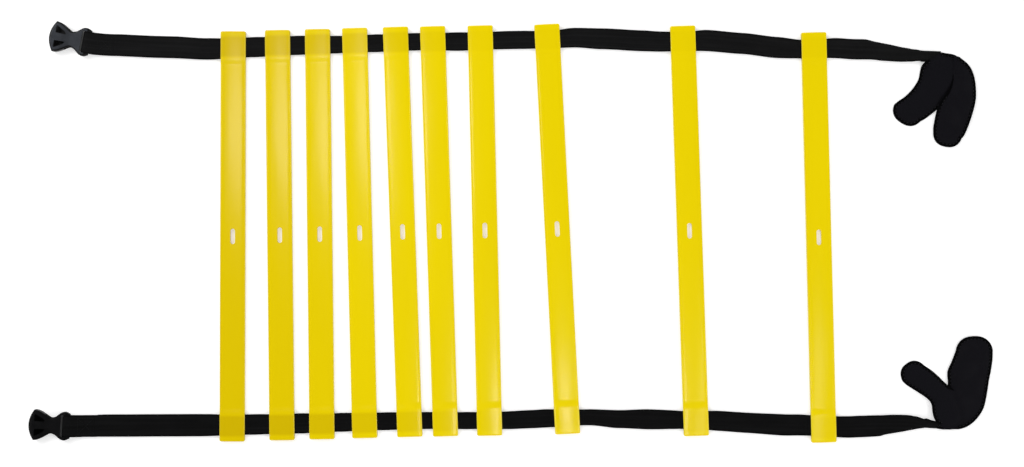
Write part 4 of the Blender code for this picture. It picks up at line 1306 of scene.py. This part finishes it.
# Melt gives where the inner edge of a tab that lies on another rises out of it, as row shares.
TABS = {
    "upper_loop_tab": dict(tip=0.74, lifts=(0.0, 0.0), melt=None, shares=(
        (0.04, 0.26, 0.52, 0.01), (-0.17, 0.47, 1.10, 0.125), (-0.24, 0.68, 1.37, 0.60),
        (-0.30, 0.98, 1.32, 1.03), (-0.45, 1.25, 1.14, 1.40), (-0.60, 1.44, 0.81, 1.74),
        (-0.80, 1.63, 0.41, 2.09), (-1.07, 1.82, 0.01, 2.41), (-1.20, 1.93, -0.24, 2.56),
    )),
    "upper_hook_tab": dict(tip=0.78, lifts=(STACK_LIFT, PATCH_LIFT), melt=(0.22, 0.45), shares=(
        (0.90, 0.125, 0.76, 0.09), (1.175, 0.36, 0.75, 0.30), (1.32, 0.65, 0.74, 0.54),
        (1.38, 1.02, 0.70, 0.81), (1.37, 1.39, 0.56, 1.11), (1.27, 1.79, 0.37, 1.39),
        (1.15, 2.14, 0.26, 1.70), (1.06, 2.35, 0.185, 2.10), (0.985, 2.45, 0.18, 2.28),
    )),
    "lower_hook_tab": dict(tip=0.76, lifts=(PATCH_LIFT, PATCH_LIFT), melt=None, shares=(
        (0.69, -0.03, 0.21, -0.03), (0.93, 0.05, 0.00, 0.03), (1.18, 0.25, 0.13, 0.25),
        (1.38, 0.55, 0.16, 0.57), (1.475, 0.92, 0.21, 0.90), (1.54, 1.34, 0.37, 1.21),
        (1.61, 1.70, 0.365, 1.60), (1.645, 1.98, 0.48, 1.88), (1.65, 2.24, 0.60, 2.19),
    )),
    "lower_loop_tab": dict(tip=0.90, lifts=(PATCH_LIFT + STACK_LIFT, 0.0), melt=(0.46, 0.58), shares=(
        (0.11, 0.16, 0.54, -0.05), (-0.03, 0.36, 1.02, 0.23), (-0.10, 0.62, 1.02, 0.60),
        (-0.14, 0.90, 0.91, 1.01), (-0.30, 1.11, 0.73, 1.38), (-0.68, 1.37, 0.42, 1.64),
        (-1.02, 1.59, -0.02, 2.07), (-1.17, 1.73, -0.36, 2.31),
    )),
}


def tab_rows(name):
    """Rows across a tab: its outer and inner edge points, and its underside's height."""
    facts = TABS[name]
    side, kind = name.split("_")[:2]
    route, width = routes[side], TAB_WIDTHS[kind]
    end = route.end()[0]

    def place(ahead, inward):
        return end.x + SEAT_GAP + ahead * width, end.y - route.side * inward * width

    rows = curve_through([(*place(*row[:2]), *place(*row[2:])) for row in facts["shares"]], ROW_STEPS)
    out = []
    for index, row in enumerate(rows):
        settled = ease((index / (len(rows) - 1) - SETTLE_FROM) / SETTLE_REACH)
        out.append((Vector(row[:2]), Vector(row[2:]), between(*facts["lifts"], settled)))
    outer, inner, lift = out[-1]
    middle, across = (outer + inner) / 2, (inner - outer) / 2
    ahead = Vector((across.y, -across.x)) * facts["tip"] / (1 - math.sin(TIP_FROM))
    if ahead.dot(middle - (out[-2][0] + out[-2][1]) / 2) < 0:
        ahead = -ahead
    for step in range(1, TIP_STEPS + 1):
        angle = between(TIP_FROM, TIP_TO, step / TIP_STEPS)
        centre = middle + ahead * (math.sin(angle) - math.sin(TIP_FROM))
        half = across * (math.cos(angle) / math.cos(TIP_FROM)) ** TIP_SQUARENESS
        out.append((centre - half, centre + half, lift))
    return out


tab_shapes = {name: tab_rows(name) for name in TABS}
print("rows in each tab:", {name: len(rows) for name, rows in tab_shapes.items()})

# %% [markdown]
# ## Foam and cloth
#
# The pad's body is a grid over those rows, closed underneath. Its thickness depends on how far a
# point is from the edge: thin under the binding, then rising to a soft crown. Where the webbing is
# sewn into a tab, the cloth rises over it. A short cloth simulation then blows the pad up a little
# with its seams held, which gives the small puckers that a formula would not.

# %% Pad body
ACROSS_STEPS = 36
EDGE_THICKNESS = 0.0012
EDGE_LIFT = 0.0003
BINDING_WIDTH = 0.0040
CROWN_FROM = BINDING_WIDTH * 0.8
CROWN_REACH = 0.0085
CROWN_THICKNESS = 0.0028
SEWN_TOP = 0.0050
SEWN_REACH = 0.0075
MELT_REACH = 0.0095
MELT_THICKNESS = 0.0002
LAY_STEP = 0.1


def free_edge(name, row):
    """0 where the inner edge is sunk into the tab below, 1 where it stands free."""
    melt = TABS[name]["melt"]
    if melt is None:
        return 1.0
    return ease((row / (len(tab_shapes[name]) - 1) - melt[0]) / (melt[1] - melt[0]))


def edge_distance(points, outline):
    """How far each point is from an outline, in plan."""
    span = np.roll(outline, -1, axis=0) - outline
    offset = points[:, None, :] - outline[None, :, :]
    length = np.maximum((span**2).sum(axis=1), 1e-12)
    share = np.clip((offset * span[None]).sum(axis=2) / length, 0.0, 1.0)
    return np.sqrt(((offset - share[..., None] * span[None]) ** 2).sum(axis=2).min(axis=1))


def sewn_rise(name, point, height):
    """How much cloth at a height rises over the webbing's end that is sewn under it."""
    route = routes[name.split("_")[0]]
    end, direction = route.end()
    offset = Vector((point.x, point.y, 0.0)) - end
    across = offset.dot(route.outward(direction)) + STRAP_WIDTH / 4
    miss_along = max(offset.dot(direction) - END_REACH, 0.0)
    miss_across = max(abs(across) - STRAP_WIDTH / 4, 0.0)
    return max(SEWN_TOP - height, 0.0) * (1 - ease(math.hypot(miss_along, miss_across) / SEWN_REACH))


def pad_mesh(name):
    """Points, faces and lay of a pad's body, and its distance to the edge at each top point."""
    rows = tab_shapes[name]
    outline = np.array([row[0] for row in rows] + [row[1] for row in reversed(rows)])
    plan, lay, lifts, along, before = [], [], [], 0.0, (rows[0][0] + rows[0][1]) / 2
    for outer, inner, lift in rows:
        middle = (outer + inner) / 2
        along += (middle - before).length
        before = middle
        for step in range(ACROSS_STEPS + 1):
            share = 0.5 - 0.5 * math.cos(math.pi * step / ACROSS_STEPS)
            plan.append(outer.lerp(inner, share))
            lay.append(((share - 0.5) * (inner - outer).length, along, LAY_STEP * len(name)))
            lifts.append(lift)
    count, wide = len(rows), ACROSS_STEPS + 1
    distance = edge_distance(np.array(plan), outline)
    top, bottom = [], []
    for index, (point, lift, reach) in enumerate(zip(plan, lifts, distance)):
        row = index // wide
        hem = EDGE_LIFT * (1 - ease(reach / BINDING_WIDTH - 0.4))
        thickness = between(EDGE_THICKNESS, CROWN_THICKNESS, ease((reach - CROWN_FROM) / CROWN_REACH))
        sunk = (1 - free_edge(name, row)) * (1 - ease((point - rows[row][1]).length / MELT_REACH))
        height = lift + between(thickness, MELT_THICKNESS + hem, sunk)
        top.append((point.x, point.y, height + sewn_rise(name, point, height)))
        bottom.append((point.x, point.y, lift + hem))
    below = count * wide
    faces = []
    for corner in (row * wide + step for row in range(count - 1) for step in range(ACROSS_STEPS)):
        quad = (corner, corner + 1, corner + wide + 1, corner + wide)
        faces += [quad, tuple(index + below for index in reversed(quad))]
    rim = list(range(wide)) + [row * wide + ACROSS_STEPS for row in range(1, count)]
    rim += [(count - 1) * wide + step for step in range(ACROSS_STEPS - 1, -1, -1)]
    rim += [row * wide for row in range(count - 2, 0, -1)]
    faces += [(first, last, last + below, first + below) for first, last in zip(rim, rim[1:] + rim[:1])]
    return top + bottom, faces, lay + lay, distance


# %% [markdown]
# The simulation runs on a copy that is twenty times larger, because the solver is tuned for cloth the
# size of a garment. Only how far each point moved comes back, scaled down and limited, so the pad
# keeps its plan and stays clear of what lies on it.

# %% Air pressure
SIM_SCALE = 20.0
SIM_FRAMES = 20
CLOTH_SETTINGS = {
    "quality": 5, "mass": 0.15, "tension_stiffness": 6, "compression_stiffness": 6, "shear_stiffness": 3,
    "bending_stiffness": 0.2, "shrink_min": -0.03, "use_pressure": True, "uniform_pressure_force": 26.0,
}
PUFF_LIMIT = 0.0009
PUFF_UNDER_LIMIT = 0.0002
UNDER_UNTIL, UNDER_REACH = 0.45, 0.2


def puff(piece, held, limits):
    """Fills a pad with air while its seams are held, and keeps the shape."""
    start = points_of(piece.data)
    mesh = piece.data.copy()
    mesh.vertices.foreach_set("co", (start * SIM_SCALE).ravel())
    model = add_object("air_model", mesh)
    model.vertex_groups.new(name="sewn").add([int(index) for index in held], 1.0, "REPLACE")
    cloth = model.modifiers.new("air", "CLOTH")
    cloth.settings.vertex_group_mass = "sewn"
    cloth.settings.effector_weights.gravity = 0.0
    for name, value in CLOTH_SETTINGS.items():
        setattr(cloth.settings, name, value)
    cloth.point_cache.frame_start, cloth.point_cache.frame_end = 1, SIM_FRAMES
    for frame_number in range(1, SIM_FRAMES + 1):
        bpy.context.scene.frame_set(frame_number)
    graph = bpy.context.evaluated_depsgraph_get()
    moved = points_of(model.evaluated_get(graph).data) / SIM_SCALE - start
    bpy.data.objects.remove(model, do_unlink=True)
    bpy.context.scene.frame_set(1)
    size = np.linalg.norm(moved, axis=1)
    moved *= (np.minimum(size, limits) / np.maximum(size, 1e-9))[:, None]
    piece.data.vertices.foreach_set("co", (start + moved).ravel())
    piece.data.update()
    print(piece.name, "rose by up to", round(float(moved[:, 2].max()) * 1000, 2), "mm")


for name in TABS:
    points, faces, lay, distance = pad_mesh(name)
    kind = "pile" if "loop" in name else "cloth"
    pad = new_piece(f"{name}_pad", points, faces, finish[kind], lay, 75.0)
    count = len(distance)
    held = np.concatenate([np.where(distance < BINDING_WIDTH)[0], np.arange(count, 2 * count)])
    limits = np.full(2 * count, PUFF_LIMIT)
    if name in TAB_JOINED.values():
        # Another tab lies on this one's root, so it may rise fully only beyond that.
        along = np.repeat(np.linspace(0.0, 1.0, len(tab_shapes[name])), ACROSS_STEPS + 1)
        clear = np.clip((along - UNDER_UNTIL) / UNDER_REACH, 0, 1)
        limits[:count] = between(PUFF_UNDER_LIMIT, PUFF_LIMIT, clear)
    puff(pad, held, limits)
    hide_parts(name)
    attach(pad, name)

# %% [markdown]
# ## Binding and its stitching
#
# A ribbed tape is folded over the edge of every pad and sewn through both sides. The tape is a
# C-shaped section swept along the edge, open towards the pad, and the stitches follow it a little
# way in from its inner border. Where a tab's edge melts into the tab below, the tape shrinks away.

# %% Binding
TAPE_THICKNESS = 0.0004
TAPE_STEP = 0.0011
TAPE_LEAST_WIDTH, TAPE_LEAST_HEIGHT = 0.15, 0.3
EDGE_SHOWS = 0.02
UNDERSIDE_RISE = 0.35
FLOOR_PLAY = 0.00002
STITCH_INSET = 0.0034
SEAM_PITCH = 0.0044
SEAM_THICKNESS = 1.4


def edge_line(name):
    """Stations from the root round the tip: point, inward direction, lift, rise, place and size."""
    rows = tab_shapes[name]
    path = [(*outer, lift, 1.0) for outer, inner, lift in rows]
    for row in reversed(range(len(rows))):
        size = free_edge(name, row)
        if size > EDGE_SHOWS:
            path.append((*rows[row][1], rows[row][2], size))
    path = np.array(path)
    lengths = np.concatenate([[0.0], np.cumsum(np.linalg.norm(np.diff(path[:, :2], axis=0), axis=1))])
    steps = round(lengths[-1] / TAPE_STEP)
    places = np.linspace(0.0, lengths[-1], steps + 1)
    xs, ys, lifts, sizes = [np.interp(places, lengths, column) for column in path.T]
    points = [Vector(pair) for pair in zip(xs, ys)]
    loop = [outer for outer, inner, lift in rows] + [inner for outer, inner, lift in reversed(rows)]
    turn = math.copysign(1.0, sum(first.cross(last) for first, last in zip(loop, loop[1:] + loop[:1])))
    stations = []
    for index, point in enumerate(points):
        along = points[min(index + 2, steps)] - points[max(index - 2, 0)]
        inward = Vector((-along.y, along.x)).normalized() * turn
        rise = sewn_rise(name, point, lifts[index] + EDGE_THICKNESS)
        stations.append((point, inward, lifts[index], rise, places[index], sizes[index]))
    return stations


def tape_section():
    """The tape's closed section as (inward, height) pairs."""
    middle = (EDGE_THICKNESS + EDGE_LIFT) / 2
    radius = middle + TAPE_THICKNESS / 2
    return [
        (BINDING_WIDTH, middle - radius + TAPE_THICKNESS / 2),
        *arc(radius, middle, radius, -90, -270, 8),
        (BINDING_WIDTH * 0.6, middle + radius + TAPE_THICKNESS * 0.1),
        (BINDING_WIDTH * 0.95, middle + radius),
        (BINDING_WIDTH, middle + radius - TAPE_THICKNESS),
        (BINDING_WIDTH * 0.3, middle + radius * 0.3),
        (BINDING_WIDTH * 0.3, middle - radius * 0.3),
    ]


section = tape_section()
tape_top = EDGE_THICKNESS + EDGE_LIFT + TAPE_THICKNESS
for name in TABS:
    edge = edge_line(name)
    points, lay, line = [], [], []
    for point, inward, lift, rise, place, size in edge:
        wide, high = between(TAPE_LEAST_WIDTH, 1.0, size), between(TAPE_LEAST_HEIGHT, 1.0, size)
        for reach, height in section:
            flat = point + inward * (reach * wide)
            rises = rise * (UNDERSIDE_RISE if height < EDGE_LIFT * 1.5 else 1.0)
            points.append((flat.x, flat.y, max(lift + height * high + rises, lift + FLOOR_PLAY)))
            lay.append((reach, place, LAY_STEP * len(name)))
        if size > 0.999:
            line.append(Vector((*(point + inward * STITCH_INSET), lift + rise + tape_top)))
    faces = tube(len(edge), len(section))
    tape = new_piece(f"{name}_binding", points, faces, finish["binding"], lay, 60.0)
    seam = Seam(SEAM_THICKNESS)
    seam.row(line, SEAM_PITCH)
    stitches = seam.piece(f"{name}_stitching", "pale_thread")
    for piece in (tape, stitches):
        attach(piece, name)

# %% [markdown]
# Two short bar tacks hold the webbing's end inside its tab. They are rows of stitches so close that
# they touch. The upper ones lie on the cloth that rises over the webbing's end, and the lower ones on
# the folded webbing itself, just where it enters the tab.

# %% Bar tacks
TACK_PLACES = {"upper": (0.0035, 0.0085), "lower": (0.0010, 0.0050)}
TACK_HEIGHT = {"upper": SEWN_TOP + 0.0003, "lower": RUN_HEIGHT + FOLD_LIFT + STRAP_THICKNESS / 2 + 0.0001}
TACK_WIDTH = {"upper": (0.001, 0.010), "lower": (0.001, 0.0065)}
TACK_PITCH = 0.0016

for side, name in TAB_JOINED.items():
    route = routes[side]
    end, direction = route.end()
    seam = Seam()
    for along in TACK_PLACES[side]:
        line = []
        for step in range(LINE_STEPS + 1):
            inward = between(*TACK_WIDTH[side], step / LINE_STEPS)
            point = end + direction * along - route.outward(direction) * inward
            line.append(Vector((point.x, point.y, TACK_HEIGHT[side])))
        seam.row(line, TACK_PITCH)
    tacks = seam.piece(f"{side}_bar_tacks")
    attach(tacks, name)

# %% [markdown]
# ## Hook tape
#
# Under each hook tab a patch of hook tape is sewn on. It is a thin backing with rows of tiny bent
# hooks, which point down and alternate their direction from row to row. Hooks this small are cheap
# triangles, and they are only ever seen from below or when the tab is folded over.

# %% Hook patches
PATCH_WIDTH = 0.0250
PATCH_LENGTH = 0.0340
PATCH_CORNER = 0.0035
BACKING_TOP = 0.0013
BACKING_BOTTOM = 0.0007
HOOK_PITCH = 0.0015
HOOK_RADIUS = 0.00016
HOOK_DRIFT = 0.0004
HOOK_SINK = 0.0001
# Down a hook: how deep each ring lies, how far it has drifted, and its share of the radius.
HOOK_RINGS = ((0.0, 0.0, 1.3), (0.55, 0.1, 1.0), (1.0, 0.9, 0.8), (0.8, 1.7, 0.3))


def hook_points(x, y, lean):
    """A tapering bent stem from the backing down to the floor."""
    points = []
    for depth, drift, share in HOOK_RINGS:
        z = BACKING_BOTTOM + HOOK_SINK - (BACKING_BOTTOM - HOOK_RADIUS) * depth
        ring = arc(x, y + lean * drift * HOOK_DRIFT, HOOK_RADIUS * share, 0, 240, 2)
        points += [(across, along, z) for across, along in ring]
    return points


for name in ("upper_hook_patch", "lower_hook_patch"):
    outline = rounded_box(PATCH_WIDTH, PATCH_LENGTH, PATCH_CORNER, 6)
    points = [point for loop in prism(outline, BACKING_BOTTOM, BACKING_TOP) for point in loop]
    faces = tube(2, len(outline))
    across, along = int(PATCH_WIDTH / HOOK_PITCH) - 1, int(PATCH_LENGTH / HOOK_PITCH) - 1
    for row in range(along):
        for column in range(across):
            x, y = (column - (across - 1) / 2) * HOOK_PITCH, (row - (along - 1) / 2) * HOOK_PITCH
            faces += tube(len(HOOK_RINGS), 3, len(points))
            points += hook_points(x, y, 1 if row % 2 else -1)
    patch = new_piece(f"{name}_hooks", points, faces, finish["hooks"], points, 50.0)
    middle, turn = solid_place(name)
    patch.matrix_world = Matrix.Translation(middle) @ Matrix.Rotation(turn, 4, "Z")
    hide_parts(name)
    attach(patch, name.replace("patch", "tab"))

# %% [markdown]
# ## The stage
#
# The photograph is a cut-out on white, with light from all round. A dark spot straight overhead keeps
# white out of the glossy tops, as a photographer's black card would, and three small soft boxes put
# back the pale streaks that the slats show. Two large ones at the sides give the light its direction.
# The floor is pale and catches the ladder's shadow. What the camera sees of it gets a little of its
# own light, so that clean floor reads as white.

# %% Floor, world and lamps
FLOOR_SIZE = 12.0
FLOOR_DROP = 0.0002
FLOOR_GLOW = 0.40
WHITE = rgb(1, 1, 1)
RING_EDGE, CARD_EDGE = 0.66, 0.90
RING_LIGHT, CARD_LIGHT = 1.10, 0.015
# Each lamp's place, its two sizes and its power in watts.
LAMPS = {
    "streak_upper_left": ((-0.60, 0.27, 2.1), (0.30, 0.34), 1.5),
    "streak_lower_middle": ((0.13, -0.45, 2.1), (0.18, 0.14), 1.0),
    "streak_lower_right": ((0.60, -0.48, 2.1), (0.60, 0.16), 0.8),
    "key": ((-1.6, 1.2, 1.7), (1.2, 1.2), 26.0),
    "fill": ((1.7, -0.9, 1.6), (1.4, 1.4), 12.0),
}

floor_finish = new_finish("pale_floor")
rays = floor_finish.node("LightPath").outputs
seen = floor_finish.math("MAXIMUM", rays["Is Camera Ray"], rays["Is Glossy Ray"])
seen = floor_finish.math("MAXIMUM", seen, rays["Is Transmission Ray"])
floor_finish.feed(floor_finish.tree.nodes["Principled BSDF"], {
    "Base Color": rgb(0.80, 0.80, 0.80), "Roughness": 0.9, "Specular IOR Level": 0.0,
    "Emission Color": WHITE, "Emission Strength": floor_finish.math("MULTIPLY", seen, FLOOR_GLOW),
})
half = FLOOR_SIZE / 2
corners = [(-half, -half, 0), (half, -half, 0), (half, half, 0), (-half, half, 0)]
floor_mesh = new_mesh("floor", corners, [(0, 1, 2, 3)])
floor_mesh.materials.append(floor_finish.owner)
floor = add_object("floor", floor_mesh)
floor.location.z = cad_low.z - FLOOR_DROP
floor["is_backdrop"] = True

world = bpy.data.worlds.new("studio")
bpy.context.scene.world = world
sky = Graph(world)
direction = sky.node("TexCoord").outputs["Generated"]
height = sky.node("SeparateXYZ", {0: direction}).outputs["Z"]
ring = sky.remap(height, RING_EDGE, CARD_EDGE, RING_LIGHT, CARD_LIGHT, interpolation_type="SMOOTHSTEP")
camera_ray = sky.node("LightPath").outputs["Is Camera Ray"]
strength = sky.node("Mix", {0: camera_ray, 2: ring, 3: 1.0}, data_type="FLOAT").outputs[0]
sky.feed(sky.tree.nodes["Background"], {"Color": WHITE, "Strength": strength})

for name, (place, size, watts) in LAMPS.items():
    data = bpy.data.lights.new(name, "AREA")
    data.shape = "RECTANGLE"
    data.size, data.size_y = size
    data.energy = watts
    lamp = add_object(name, data)
    lamp.location = place
    lamp.rotation_euler = (-Vector(place)).to_track_quat("-Z", "Y").to_euler()

# %% Finish
low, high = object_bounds()
print("grew by", [round(v * 1000, 2) for v in (*(cad_low - low), *(high - cad_high))], "mm")
